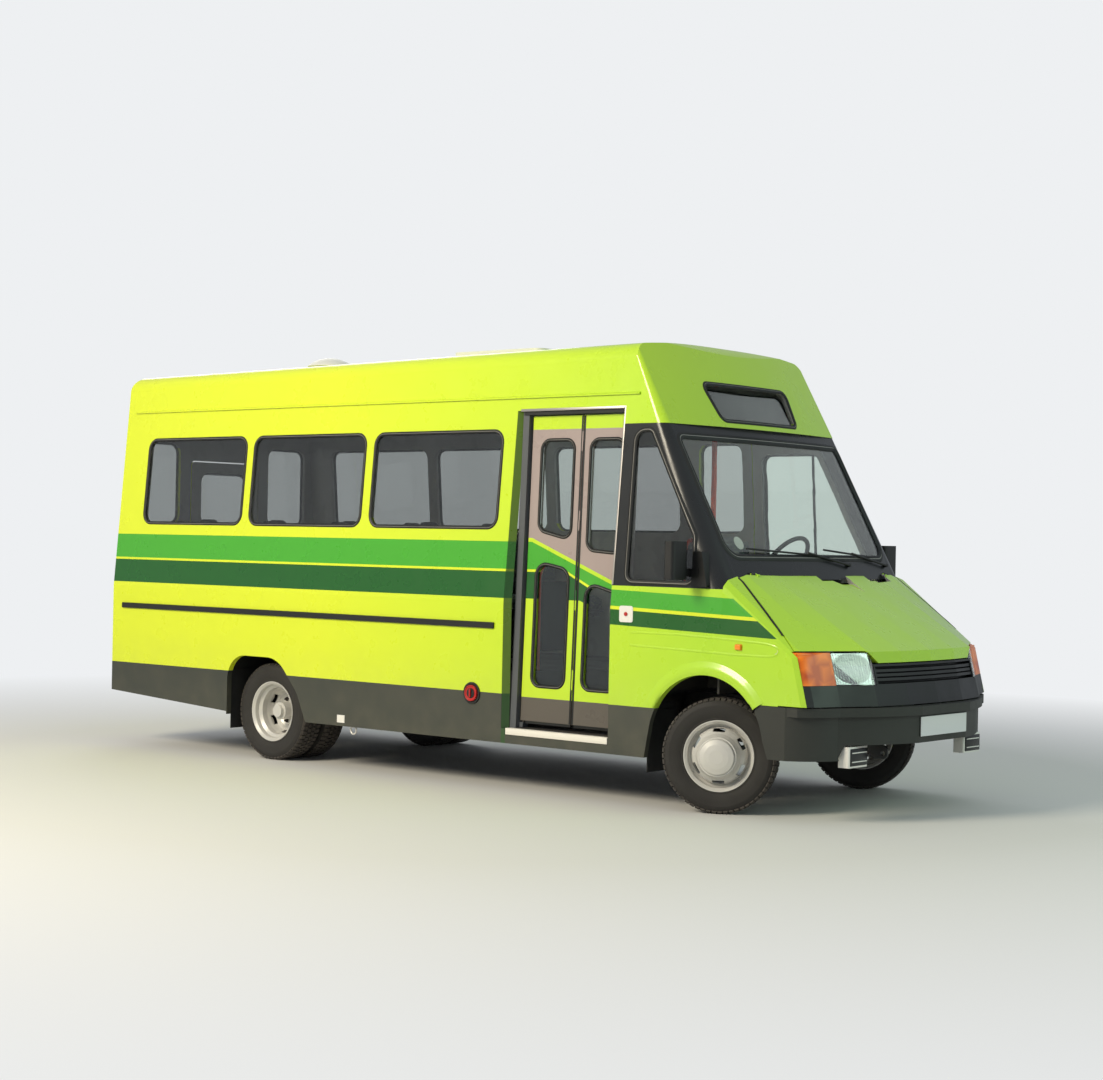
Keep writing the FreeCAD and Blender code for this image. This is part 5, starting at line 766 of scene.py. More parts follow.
# %% Cab windows, windscreen and destination glass
QUARTER = [(1.608, 2.197, 0.07), (1.610, 1.305, 0.05), (2.108, 1.303, 0.06), (2.087, 1.577, 0.06),
           (1.730, 2.197, 0.045)]
window_rubber("window_rubber_quarter", QUARTER, on_cab(-1), "body", 0.016, 0.016, 6, 0.008)
CAB_DOOR_WINDOW = [(1.260, 1.340, 0.06), (2.075, 1.340, 0.06), (1.685, 2.135, 0.06), (1.260, 2.135, 0.06)]
window_rubber("window_rubber_cab_door", CAB_DOOR_WINDOW, on_cab(1), "driver_door", 0.012, 0.014, 6)
SCREEN = [(-0.852, 1.462, 0.09), (0.852, 1.462, 0.09), (0.852, 2.164, 0.045), (-0.852, 2.164, 0.045)]
window_rubber("windscreen_rubber", SCREEN, on_screen, "body", 0.022, 0.020, 12, 0.009)
SIGN = [(-0.399, 2.276, 0.045), (0.399, 2.276, 0.045), (0.448, 2.502, 0.045), (-0.448, 2.502, 0.045)]
window_rubber("destination_rubber", SIGN, on_dome, "body", 0.014, 0.012, 10)
print("windscreen rubber follows the bow of", SCREEN_BOW, "m")

# %% Leaf windows
SEAM = 1.171
LEAF_EDGE = 0.003


def leaf_corners(side):
    """Corner lists of a leaf's upper and lower window; side is -1 for the rear leaf, 1 for the front leaf."""
    near, far = SEAM + side * (LEAF_EDGE + 0.062), SEAM + side * (LEAF_EDGE + 0.318)
    low_near, low_far = (1.485, 1.468) if side > 0 else (1.545, 1.600)
    upper = [(near, low_near, 0.06), (far, low_far, 0.06), (far, 2.150, 0.06), (near, 2.150, 0.06)]
    near, far = SEAM + side * (LEAF_EDGE + 0.066), SEAM + side * (LEAF_EDGE + 0.322)
    top_near, top_far = (1.290, 1.225) if side > 0 else (1.360, 1.405)
    lower = [(near, 0.648, 0.06), (far, 0.648, 0.06), (far, top_far, 0.075), (near, top_near, 0.075)]
    return upper, lower


for side, leaf in ((-1, "rear"), (1, "front")):
    for corners, part in zip(leaf_corners(side), ("upper", "lower")):
        window_rubber(f"leaf_rubber_{leaf}_{part}", corners, on_leaf, f"entrance_leaf_{leaf}", 0.012, 0.010,
                      0, 0.008)

# %% [markdown]
# ## Tyres
# The CAD tyres are plain rings. A road tyre has a tread of rubber blocks between grooves and sipes, lugs
# that run over the shoulder, and smooth walls with a bead at the rim. The section is drawn by extruding one
# circle of edges from station to station, each wider or narrower than the last; then blocks are picked by
# angle and raised.

# %% One tyre
TYRE_R, TREAD_DEPTH, PITCHES, STEPS = 0.330, 0.008, 60, 4
BASE_R = TYRE_R - TREAD_DEPTH
HALF_SECTION = ((0.0666, 0.192), (0.0775, 0.206), (0.0800, 0.212), (0.0790, 0.216), (0.0845, 0.228),
                (0.0895, 0.246),
                (0.0920, 0.266), (0.0910, 0.284), (0.0915, 0.287), (0.0905, 0.290), (0.0870, 0.302), (0.0800,
                                                                                                      0.313),
                (0.0685, BASE_R), (0.0380, BASE_R), (0.0320, BASE_R), (0.0040, BASE_R))
SECTION = HALF_SECTION + tuple((-across, radius) for across, radius in reversed(HALF_SECTION))


def tyre_mesh(name):
    """A tyre about the Y axis at the origin."""
    sides = PITCHES * STEPS
    across, radius = SECTION[0]
    ring = primitive(bpy.ops.mesh.primitive_circle_add, name, vertices=sides, radius=radius,
                     location=(0, across, 0),
                     rotation=(math.pi / 2, 0, 0))
    bpy.ops.object.mode_set(mode="EDIT")
    bpy.ops.mesh.select_all(action="SELECT")
    for next_across, next_radius in SECTION[1:] + SECTION[:1]:
        bpy.ops.mesh.extrude_edges_move(TRANSFORM_OT_translate={"value": (0, next_across - across, 0)})
        grow = next_radius / radius
        bpy.ops.transform.resize(value=(grow, 1, grow), center_override=(0, next_across, 0))
        across, radius = next_across, next_radius
    leave_edit()
    outward(ring)

    def block(centre, normal):
        turn = math.floor((math.atan2(centre.z, centre.x) / (2 * math.pi) + 1.0) * sides + 1e-6)
        y, r = centre.y, math.hypot(centre.x, centre.z)
        if r < 0.312 or 0.0320 < abs(y) < 0.0380 or abs(y) < 0.0040:
            return False
        phase = (0 if y > 0 else 1) + (2 if abs(y) < 0.035 else 0)
        return (turn + phase) % STEPS != 0

    pick(ring, block)
    bpy.ops.mesh.extrude_region_shrink_fatten(TRANSFORM_OT_shrink_fatten={"value": TREAD_DEPTH * 0.98})
    leave_edit()
    ring.data.materials.append(FINISH["tyre_rubber_wall"])
    ring.data.materials.append(FINISH["road_worn_tread"])
    for face in ring.data.polygons:
        face.material_index = int(math.hypot(face.center.x, face.center.z) > 0.3125)
    return ring


# Rubber dark in its pores and pale with road dust on its worn faces, in patches of about 70 mm
tree, shader = finish_of("road_worn_tread", "#3A3733", 0.85)
where, _ = place_of(tree)
grain(tree, shader, where, 0.004, 0.0002)
patches = add(tree, "TexNoise", {"Vector": where, "Scale": 14.0, "Detail": 4.0}).outputs["Fac"]
fill(tree, shader, "Base Color", add(tree, "Mix", {0: patches, 6: "#2B2A29", 7: "#56504A"}, data_type="RGBA"))

tyre = tyre_mesh("front_road_tyre_right")
print("tyre:", len(tyre.data.polygons), "faces, radius", round(max(v.co.z for v in tyre.data.vertices), 4))

# %% Six tyres on their wheels
STEER = math.radians(24.9)
FRONT_WHEELS = {"right": (2.2044, -0.8420, TYRE_R), "left": (2.1096, 0.8420, TYRE_R)}
REAR_X_AXLE = -1.490
TWIN_OUTER, TWIN_INNER = 0.8525, 0.6375


def wheel_place(centre, steer, phase):
    return Matrix.Translation(centre) @ Matrix.Rotation(steer, 4, "Z") @ Matrix.Rotation(phase, 4, "Y")


for side, sign in (("right", -1), ("left", 1)):
    twins = []
    for i, y in enumerate((TWIN_OUTER, TWIN_INNER)):
        copy = twin(tyre, f"rear_road_tyre_{side}_{i}", wheel_place((REAR_X_AXLE, sign * y, TYRE_R), 0.0,
                                                                    0.02 + 0.5 * i))
        twins.append(copy)
    pair_of_tyres = joined(f"rear_road_tyres_{side}", twins)
    complete(pair_of_tyres, f"wheels_rear_{side}", "tyre_rubber_wall", 30.0)
    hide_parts(f"rear_tyres_{side}")
left_tyre = twin(tyre, "front_road_tyre_left", wheel_place(FRONT_WHEELS["left"], STEER, 0.03))
tyre.data.transform(wheel_place(FRONT_WHEELS["right"], STEER, 0.0))
for side, piece in (("right", tyre), ("left", left_tyre)):
    complete(piece, f"wheel_front_{side}", "tyre_rubber_wall", 30.0)
    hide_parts(f"front_tyre_{side}")

# %% Wheel nuts
# Hexagon nuts hold each twin pair, on a circle of 170 mm. One nut is spun into the ring.
NUT_CIRCLE, NUT_FACE, NUTS = 0.085, 0.746, 6
nut = barrel("rear_wheel_nuts_right", (REAR_X_AXLE + NUT_CIRCLE, -NUT_FACE + 0.004, TYRE_R),
             (REAR_X_AXLE + NUT_CIRCLE, -NUT_FACE - 0.016, TYRE_R), 0.0155, 6)
round_edges(nut, 0.002)
pick(nut, lambda centre, normal: normal.y < -0.9)
bpy.ops.mesh.inset(thickness=0.005)
bpy.ops.mesh.extrude_region_move(TRANSFORM_OT_translate={"value": (0, -0.012, 0)})
bpy.ops.mesh.select_all(action="SELECT")
bpy.ops.mesh.spin(steps=NUTS, dupli=True, angle=2 * math.pi, center=(REAR_X_AXLE, 0, TYRE_R), axis=(0, 1, 0))
leave_edit()
outward(nut)
left_nuts = twin(nut, "rear_wheel_nuts_left", OVER)
complete(nut, "wheels_rear_right", "cast_hub_iron")
complete(left_nuts, "wheels_rear_left", "cast_hub_iron")
print("nuts:", NUTS, "a side")

# %% [markdown]
# ## Lamps
# A headlamp is a box with a silvered bowl and a bulb behind a glass cover; the inner face of the cover is
# fluted to spread the light. The indicator beside it wraps round the corner in amber. The CAD lamp is a
# solid block, so its copy, with the back faces removed and given a wall, becomes the cover, and the rest is
# modelled behind it.

# %% The nose's front surface
NOSE_ROWS = ((0.0, 3.058), (0.300, 3.045), (0.576, 3.003), (0.790, 2.893), (0.960, 2.835), (1.000, 2.812),
             (1.015, 2.785))
NOSE_BREAK, NOSE_LEAN = 0.950, 0.25


def nose_x(y, z):
    y = min(abs(y), NOSE_ROWS[-1][0])
    for (y0, x0), (y1, x1) in zip(NOSE_ROWS, NOSE_ROWS[1:]):
        if y <= y1:
            return x0 + (x1 - x0) * (y - y0) / (y1 - y0) + NOSE_LEAN * (NOSE_BREAK - z)
    return NOSE_ROWS[-1][1]


def on_nose(side):
    return lambda u, w, h: Vector((nose_x(u, w) + h, side * u, w))


def waved_grid(name, u, w, rows, columns, height):
    """A grid over a rectangle in XZ, with its height along -Y from a function."""
    middle = ((u[0] + u[1]) / 2, 0, (w[0] + w[1]) / 2)
    grid = primitive(bpy.ops.mesh.primitive_grid_add, name, x_subdivisions=columns, y_subdivisions=rows,
                     size=1.0,
                     location=middle, rotation=(math.pi / 2, 0, 0), scale=(u[1] - u[0], w[1] - w[0], 1.0))
    for vertex in grid.data.vertices:
        vertex.co.y = -height(vertex.co.x, vertex.co.z)
    return grid


# %% Headlamp and indicator, right side
LAMP_LOW, LAMP_HIGH = 0.771, 0.942
HEAD_U, INDICATOR_U = (0.563, 0.784), (0.796, 0.993)
# The bonnet's edge over the headlamp: its height at the inner end and its rise outwards
CUT_LOW, CUT_SLOPE = 0.922, 0.87


def bowl(u, w, spread_u, spread_w, rim, depth):
    """Depth of a parabolic bowl in a flat frame."""
    middle_u, middle_w = (u[0] + u[1]) / 2, (w[0] + w[1]) / 2

    def height(a, b):
        share = ((a - middle_u) / spread_u) ** 2 + ((b - middle_w) / spread_w) ** 2
        return -rim - depth * max(0.0, 1.0 - share)
    return height


def flutes(pitch, depth, base):
    return lambda a, b: -base - depth * abs(math.sin(math.pi * a / pitch))


def lamp_corner(piece):
    """Cut the headlamp's upper inner corner along the bonnet's edge."""
    for vertex in piece.data.vertices:
        limit = CUT_LOW + (vertex.co.x - HEAD_U[0]) * CUT_SLOPE
        if vertex.co.z > limit:
            vertex.co.z = max(limit, LAMP_LOW)


def lamp_piece(name, grid, side, finish, thick):
    modify(grid, "SOLIDIFY", thickness=thick, offset=-1.0)
    lay(grid, on_nose(side))
    return complete(grid, "body", finish, 40.0)


head_w = (LAMP_LOW, LAMP_HIGH)
bulb_y, bulb_z = sum(HEAD_U) / 2, sum(head_w) / 2
lamp_parts = []
for side, word in ((-1, "right"), (1, "left")):
    grid = waved_grid(f"headlamp_flutes_{word}", HEAD_U, head_w, 12, 120, flutes(0.0145, 0.0012, 0.009))
    lamp_corner(grid)
    lamp_parts.append(lamp_piece(grid.name, grid, side, "clear_lamp_glass", 0.002))
    grid = waved_grid(f"headlamp_bowl_{word}", HEAD_U, head_w, 32, 40,
                      bowl(HEAD_U, head_w, 0.105, 0.082, 0.018, 0.085))
    lamp_corner(grid)
    lamp_parts.append(lamp_piece(grid.name, grid, side, "vacuum_coated_reflector", 0.002))
    grid = waved_grid(f"indicator_prisms_{word}", INDICATOR_U, head_w, 60, 12,
                      lambda a, b: -0.010 - 0.0015 * abs(math.sin(math.pi * b / 0.012)))
    lamp_parts.append(lamp_piece(grid.name, grid, side, "amber_acrylic", 0.002))
    grid = waved_grid(f"indicator_bowl_{word}", INDICATOR_U, head_w, 24, 28,
                      bowl(INDICATOR_U, head_w, 0.09, 0.08, 0.022, 0.05))
    lamp_parts.append(lamp_piece(grid.name, grid, side, "amber_lamp_back", 0.002))
    middle = Vector((nose_x(bulb_y, bulb_z) - 0.10, side * bulb_y, bulb_z))
    bulb = barrel(f"headlamp_bulb_{word}", middle, middle + Vector((0.045, 0, 0)), 0.011, 20)
    round_edges(bulb, 0.006, 3)
    lamp_parts.append(complete(bulb, "body", "clear_lamp_glass"))
print("lamp parts:", len(lamp_parts))

# %% Lamp covers and fog lamps from the CAD solids
def loose_parts(node, name):
    """The separate solids of a CAD node as merged copies."""
    copy = bpy.data.objects.new(name, NODES[node].data.copy())
    bpy.context.scene.collection.objects.link(copy)
    bpy.ops.object.select_all(action="DESELECT")
    copy.select_set(True)
    bpy.context.view_layer.objects.active = copy
    bpy.ops.object.mode_set(mode="EDIT")
    bpy.ops.mesh.select_all(action="SELECT")
    bpy.ops.mesh.remove_doubles(threshold=0.00001)
    bpy.ops.mesh.separate(type="LOOSE")
    leave_edit()
    return list(bpy.context.selected_objects)


def middle_of(piece):
    corners = [Vector(c) for c in piece.bound_box]
    return (corners[0] + corners[6]) / 2


lamp_bodies = []
for part in loose_parts("front_lamps", "lamp_cover"):
    centre = middle_of(part)
    word = "right" if centre.y < 0 else "left"
    if centre.z > 0.6:
        head = abs(centre.y) < 0.79
        part.name = part.data.name = f"{'headlamp' if head else 'indicator'}_cover_{word}"
        pick(part, lambda c, n: c.x < 2.703)
        bpy.ops.mesh.delete(type="FACE")
        leave_edit()
        modify(part, "SOLIDIFY", thickness=0.003, offset=-1.0)
        part.data.materials.clear()
        complete(part, "body", "clear_lamp_glass" if head else "amber_acrylic")
    else:
        part.name = part.data.name = f"fog_lamp_case_{word}"
        part.data.materials.clear()
        round_edges(part, 0.003)
        complete(part, "body", "lamp_case_white_abs")
    lamp_bodies.append(part)
for part in lamp_bodies:
    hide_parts("front_lamps")

# %% Fog lamp covers
# A clipped-on black cover with two pale ribs; it stands 5 mm proud of the white case.
FOG_X = 2.995
for side, word in ((-1, "right"), (1, "left")):
    cover = slab(f"fog_lamp_cover_{word}", (FOG_X - 0.004, 0.557 * side, 0.322),
                 (FOG_X + 0.005, 0.733 * side, 0.418))
    outward(cover)
    round_edges(cover, 0.006, 3)
    complete(cover, "body", "black_lens_cover_abs")
    bars = []
    for z in (0.345, 0.395):
        bar = slab(f"fog_lamp_rib_{word}", (FOG_X + 0.003, 0.570 * side, z - 0.003),
                   (FOG_X + 0.0075, 0.720 * side, z + 0.003))
        outward(bar)
        round_edges(bar, 0.001)
        bars.append(bar)
    complete(joined(f"fog_lamp_ribs_{word}", bars), "body", "lamp_case_white_abs")
print("lamp pieces on the body:", len([o for o in bpy.data.objects if "lamp" in o.name]))

# %% [markdown]
# ## Rub rails, trims and small fittings
# A rubber rub rail runs along the saloon on both sides. The doorway has an aluminium edge, a white step
# nosing and a ribbed vinyl mat. The small things are few but the eye looks for them: side repeaters, the
# emergency door button on its white plate, the red filler cap, blank number plates and the mirrors' glass.

# %% Rub rails
RAIL_Z, RAIL_HALF, RAIL_PROUD = 1.007, 0.019, 0.015
RAIL_BACK, RAIL_FRONT = -3.025, 0.605
for side, word in ((-1, "right"), (1, "left")):
    rail = slab(f"rub_rail_{word}", (RAIL_BACK, side * HALF_WIDTH, RAIL_Z - RAIL_HALF),
                (RAIL_FRONT, side * (HALF_WIDTH + RAIL_PROUD), RAIL_Z + RAIL_HALF))
    outward(rail)
    pick(rail, lambda c, n: n.y * side > 0.9)
    bpy.ops.mesh.inset(thickness=0.005)
    bpy.ops.transform.translate(value=(0, -side * 0.002, 0))
    leave_edit()
    round_edges(rail, 0.005, 3)
    complete(rail, "body", "epdm_rubber")
print("rub rail length", round(RAIL_FRONT - RAIL_BACK, 3), "m")

# %% Doorway edge, nosing and mat
DOOR_X0, DOOR_X1, DOOR_TOP, TREAD_Z = 0.707, 1.512, 2.332, 0.380


def side_strip(name, u, w, proud, finish, body="body", cuts=0, surface=None, deep=0.004):
    """A flat strip with soft edges on the right side's surface."""
    strip = slab(name, (u[0], -proud, w[0]), (u[1], deep, w[1]))
    if cuts:
        pick(strip, lambda a, b: abs(a.z - b.z) > 0.2, "edges")
        bpy.ops.mesh.subdivide(number_cuts=cuts)
        leave_edit()
    round_edges(strip, min(proud, 0.003) * 0.6)
    lay(strip, surface or on_side(-1))
    return complete(strip, body, finish)


side_strip("door_header_trim", (DOOR_X0 - 0.006, DOOR_X1), (DOOR_TOP - 0.006, DOOR_TOP + 0.010), 0.003,
           "anodised_aluminium")
side_strip("door_front_trim", (DOOR_X1 - 0.001, DOOR_X1 + 0.011), (1.285, DOOR_TOP + 0.010), 0.003,
           "anodised_aluminium", cuts=4)
nosing = slab("step_nosing", (DOOR_X0 + 0.004, -HALF_WIDTH - 0.003, TREAD_Z - 0.036),
              (DOOR_X1 - 0.004, -0.972, TREAD_Z + 0.004))
pick(nosing, lambda c, n: n.z > 0.9)
bpy.ops.mesh.subdivide(number_cuts=1)
leave_edit()
round_edges(nosing, 0.004, 3)
complete(nosing, "body", "white_step_edge_pvc")
MAT_OUTER, MAT_INNER, MAT_STRIPS = -0.966, -0.530, 44
mat = slab("step_mat", (DOOR_X0 + 0.02, MAT_OUTER, TREAD_Z), (DOOR_X1 - 0.03, MAT_INNER, TREAD_Z + 0.004))
pick(mat, lambda a, b: abs(a.y - b.y) > 0.2, "edges")
bpy.ops.mesh.subdivide(number_cuts=MAT_STRIPS - 1)


def on_rib(centre, normal):
    strip = int(round((centre.y - MAT_OUTER) / (MAT_INNER - MAT_OUTER) * MAT_STRIPS - 0.5))
    return normal.z > 0.9 and strip % 2 == 0


pick(mat, on_rib)
bpy.ops.mesh.extrude_region_move(TRANSFORM_OT_translate={"value": (0, 0, 0.003)})
leave_edit()
complete(mat, "body", "ribbed_floor_vinyl", 20.0)
print("mat ribs:", MAT_STRIPS // 2)

# %% Leaf edge rubbers and brushes
LEAF_LOW, LEAF_HIGH = 0.434, 2.296
# The foot brush ends above the mat, also when the leaves fold and sink
BRUSH_LOW, BRISTLE = 0.413, 0.006
for side, leaf in ((-1, "rear"), (1, "front")):
    inner = SEAM + side * LEAF_EDGE
    edge = sorted((inner + side * 0.0005, inner + side * 0.0135))
    side_strip(f"leaf_edge_rubber_{leaf}", edge, (LEAF_LOW, LEAF_HIGH), 0.001, "epdm_rubber",
               f"entrance_leaf_{leaf}", surface=on_leaf)
    low = sorted((inner + side * 0.01, inner + side * 0.365))
    brush = slab(f"leaf_brush_{leaf}", (low[0], 0.010, BRUSH_LOW), (low[1], 0.020, LEAF_LOW + 0.004))
    pick(brush, lambda a, b: abs(a.x - b.x) > 0.1, "edges")
    bpy.ops.mesh.subdivide(number_cuts=70)
    pick(brush, lambda co: co.z < BRUSH_LOW + 0.007 and int(round((co.x - low[0]) * 200)) % 2 == 0,
         "vertices")
    bpy.ops.transform.translate(value=(0, 0, BRISTLE))
    leave_edit()
    lay(brush, on_leaf)
    complete(brush, f"entrance_leaf_{leaf}", "epdm_rubber")
print("brushes end", BRUSH_LOW - TREAD_Z, "m above the step")

# %% Repeaters and emergency button
for side, word in ((-1, "right"), (1, "left")):
    lamp = slab(f"side_repeater_{word}", (2.410, side * (HALF_WIDTH - 0.002), 0.943),
                (2.456, side * (HALF_WIDTH + 0.016), 0.979))
    outward(lamp)
    pick(lamp, lambda c, n: n.y * side > 0.9)
    bpy.ops.transform.resize(value=(0.8, 1.0, 0.76))
    leave_edit()
    round_edges(lamp, 0.004, 3)
    complete(lamp, "body", "amber_lamp_back")
BUTTON_X, BUTTON_Z = 1.632, 1.116
plate = slab("door_button_plate", (BUTTON_X - 0.050, -HALF_WIDTH - 0.003, BUTTON_Z - 0.048),
             (BUTTON_X + 0.050, -HALF_WIDTH, BUTTON_Z + 0.048))
pick(plate, lambda a, b: abs(a.y - b.y) > 0.002, "edges")
bpy.ops.mesh.bevel(offset=0.014, segments=4)
leave_edit()
complete(plate, "body", "lamp_case_white_abs")
button = barrel("door_button", (BUTTON_X, -HALF_WIDTH - 0.002, BUTTON_Z),
                (BUTTON_X, -HALF_WIDTH - 0.009, BUTTON_Z), 0.012)
round_edges(button, 0.002, 3)
complete(button, "body", "red_button_abs")
print("door button", BUTTON_Z, "m above the ground")

# %% Filler cap
FILLER_X, FILLER_Z, SURROUND_R, CAP_R, GRIP_PROUD = 0.430, 0.580, 0.068, 0.050, 0.026
GRIP_HALF = (0.0055, 0.026)


def filler_disc(name, start, end, radius):
    """A round piece on the right side, from one distance outwards to another."""
    places = [(FILLER_X, -HALF_WIDTH - out, FILLER_Z) for out in (start, end)]
    return barrel(name, *places, radius, 48)


ring = filler_disc("filler_surround", -0.002, 0.008, SURROUND_R)
pick(ring, lambda c, n: n.y < -0.9)
bpy.ops.mesh.inset(thickness=0.012)
bpy.ops.mesh.extrude_region_move(TRANSFORM_OT_translate={"value": (0, 0.003, 0)})
leave_edit()
round_edges(ring, 0.002, 3)
complete(ring, "body", "epdm_rubber")
cap = filler_disc("filler_cap", 0.001, 0.0175, CAP_R)
pick(cap, lambda c, n: n.y < -0.9)
bpy.ops.mesh.inset(thickness=0.006)
bpy.ops.mesh.extrude_region_move(TRANSFORM_OT_translate={"value": (0, 0.004, 0)})
leave_edit()
grip = slab("filler_grip", (FILLER_X - GRIP_HALF[0], -HALF_WIDTH - GRIP_PROUD, FILLER_Z - GRIP_HALF[1]),
            (FILLER_X + GRIP_HALF[0], -HALF_WIDTH - 0.012, FILLER_Z + GRIP_HALF[1]))
cap = joined("filler_cap", [cap, grip])
round_edges(cap, 0.002, 3)
complete(cap, "body", "red_button_abs")
print("filler cap stands", GRIP_PROUD, "m proud")

# %% Number plates
# Blank plates of about 520 by 110 mm with a thin raised edge
for word, x0, x1, z0 in (("front", 3.160, 3.1635, 0.473), ("rear", -3.1725, -3.169, 0.5655)):
    plate = slab(f"number_plate_{word}", (x0, -0.2595, z0), (x1, 0.2595, z0 + 0.110))
    ahead_of = 1 if word == "front" else -1
    pick(plate, lambda c, n: n.x * ahead_of > 0.9)
    bpy.ops.mesh.inset(thickness=0.004)
    bpy.ops.mesh.inset(thickness=0.003)
    bpy.ops.transform.translate(value=(-0.0012 * ahead_of, 0, 0))
    leave_edit()
    plate.data.materials.append(FINISH["number_plate_acrylic"])
    complete(plate, "body", "number_plate_acrylic")
    print(word, "plate from", z0, "m up")

# %% Mirror glass
for side, word, body in ((-1, "right", "body"), (1, "left", "driver_door")):
    glass_plate = slab(f"mirror_glass_{word}", (2.052, side * 1.080, 1.342), (2.056, side * 1.213, 1.531))
    outward(glass_plate)
    pick(glass_plate, lambda a, b: abs(a.x - b.x) > 0.002, "edges")
    bpy.ops.mesh.bevel(offset=0.016, segments=4)
    leave_edit()
    complete(glass_plate, body, "silvered_mirror_glass")
    print(word, "mirror glass rides", body)

# %% Marker, eye and door brush
# A white marker and a jacking eye under the skirt, and the brush that seals the leaves' top edge
marker = slab("skirt_marker", (-0.765, -HALF_WIDTH - 0.002, 0.312), (-0.695, -HALF_WIDTH, 0.362))
outward(marker)
complete(marker, "body", "lamp_case_white_abs")
eye = primitive(bpy.ops.mesh.primitive_torus_add, "jacking_eye", major_radius=0.026, minor_radius=0.006,
                major_segments=32,
                minor_segments=10, location=(-0.640, -0.985, 0.268), rotation=(math.pi / 2, 0, 0))
web = slab("jacking_eye_web", (-0.662, -0.991, 0.284), (-0.618, -0.979, 0.2935))
outward(web)
eye = joined("jacking_eye", [eye, web])
complete(eye, "body", "silver_wheel_enamel")
brush = slab("door_head_brush", (0.720, -0.904, 2.304), (1.500, -0.882, 2.3325))
outward(brush)
complete(brush, "body", "epdm_rubber")
print("eye, marker and brush on the right side")

# %% [markdown]
# ## Pressed trim on the cab sides
# The wing has a raised flare round its arch and a slim bead round the repeater, and a black strip lies in
# the gap beside the bonnet as painted shade, so that the gap reads dark. All three are ribbons: a grid whose
# length follows a path and whose width follows a profile, then thickened so that it is closed. A ray cast at
# the CAD wing gives the height of the first two. In the narrow gap a ray would miss, so the strip follows
# points measured along the gap.

# %% Ribbons on the panels
def ribbon(name, path, stations, profile, place):
    """A grid bent along path(share) -> (point, normal); profile lists (across, height) from edge to edge."""
    strip = primitive(bpy.ops.mesh.primitive_grid_add, name, x_subdivisions=stations,
                      y_subdivisions=len(profile) - 1, size=2.0)
    for vertex in strip.data.vertices:
        across, height = profile[round((vertex.co.y + 1) / 2 * (len(profile) - 1))]
        (u, w), (nu, nw) = path((vertex.co.x + 1) / 2)
        vertex.co = place(u + nu * across, w + nw * across, height)
    modify(strip, "SOLIDIFY", thickness=0.002, offset=-1.0)
    outward(strip)
    return strip


def panel_hit(origin, direction, *nodes):
    """Nearest hit of a ray on some CAD panels, or None."""
    hits = [NODES[node].ray_cast(Vector(origin), Vector(direction)) for node in nodes]
    points = [point for found, point, normal, index in hits if found]
    return min(points, key=lambda point: (point - Vector(origin)).length) if points else None


def on_wing(side, flush=False):
    def place(u, w, h):
        hit = panel_hit((u, side * 1.3, w), (0, -side, 0), "wings")
        panel = abs(hit.y) if hit else HALF_WIDTH
        return Vector((u, side * (max(panel + 0.0005, HALF_WIDTH + h) if flush else panel + h), w))
    return place


def through(points):
    """A path through points, by length, with its left-hand normal."""
    lengths = [0.0]
    for a, b in zip(points, points[1:]):
        lengths.append(lengths[-1] + math.dist(a, b))

    def path(share):
        reach = share * lengths[-1]
        i = min(max(k for k, length in enumerate(lengths) if length <= reach + 1e-9), len(points) - 2)
        a, b = points[i], points[i + 1]
        part = (reach - lengths[i]) / (lengths[i + 1] - lengths[i])
        before, after = points[max(i - 1, 0)], points[min(i + 2, len(points) - 1)]
        start, end = (b[0] - before[0], b[1] - before[1]), (after[0] - a[0], after[1] - a[1])
        du, dw = (start[k] + (end[k] - start[k]) * part for k in (0, 1))
        size = math.hypot(du, dw)
        return (a[0] + (b[0] - a[0]) * part, a[1] + (b[1] - a[1]) * part), (-dw / size, du / size)
    return path


ARCH_X, ARCH_Z, ARCH_R = 2.205, 0.392, 0.400
ARCH_FROM, ARCH_TO = 152, 34
FLARE = ((0.001, 0.0), (0.004, 0.010), (0.016, 0.015), (0.034, 0.016), (0.052, 0.012), (0.066, 0.005),
         (0.078, 0.0))
BEAD = ((-0.008, 0.0), (-0.004, 0.0025), (0.0, 0.0035), (0.004, 0.0025), (0.008, 0.0))
BEAD_LINE = [(1.66, 1.012), (2.00, 1.014), (2.40, 1.000), (2.62, 0.988), (2.685, 0.974), (2.70, 0.950),
             (2.685, 0.927), (2.62, 0.918),
             (2.40, 0.918), (2.00, 0.928), (1.66, 0.937)]


def arch_line(share):
    turn = math.radians(ARCH_FROM + (ARCH_TO - ARCH_FROM) * share)
    return (ARCH_X + ARCH_R * math.cos(turn), ARCH_Z + ARCH_R * math.sin(turn)), (math.cos(turn),
                                                                                  math.sin(turn))


for side, word in ((-1, "right"), (1, "left")):
    flare = ribbon(f"arch_flare_{word}", arch_line, 48, FLARE, on_wing(side, True))
    complete(flare, "body", "gloss_coach_enamel", 50.0)
bead = ribbon("wing_bead_right", through(BEAD_LINE), 96, BEAD, on_wing(-1))
complete(bead, "body", "gloss_coach_enamel", 50.0)
print("flare stands", FLARE[3][1], "m proud of the wing")

# %% Bonnet gap strips, black as painted shade
GAP_LINE = [(2.322, 0.865, 1.3437), (2.351, 0.865, 1.3237), (2.450, 0.894, 1.2427), (2.550, 0.922, 1.1595),
            (2.650, 0.950, 1.0747), (2.695, 0.9625, 1.0340)]
# Section of the black painted-shade strip across the gap: across, height
GAP_SHADE_PROFILE = ((0.000, -0.001), (0.002, 0.002), (0.006, 0.003), (0.010, 0.002), (0.012, 0.0))
FALL_OUTWARDS = 0.255


def on_bonnet_gap(side):
    def place(u, w, h):
        a, b = next(pair for pair in zip(GAP_LINE, GAP_LINE[1:])
                    if u <= pair[1][0] or pair[1] is GAP_LINE[-1])
        part = (u - a[0]) / (b[0] - a[0])
        y, z = (a[k] + (b[k] - a[k]) * part for k in (1, 2))
        return Vector((u, side * w, z - FALL_OUTWARDS * (w - y) + h))
    return place
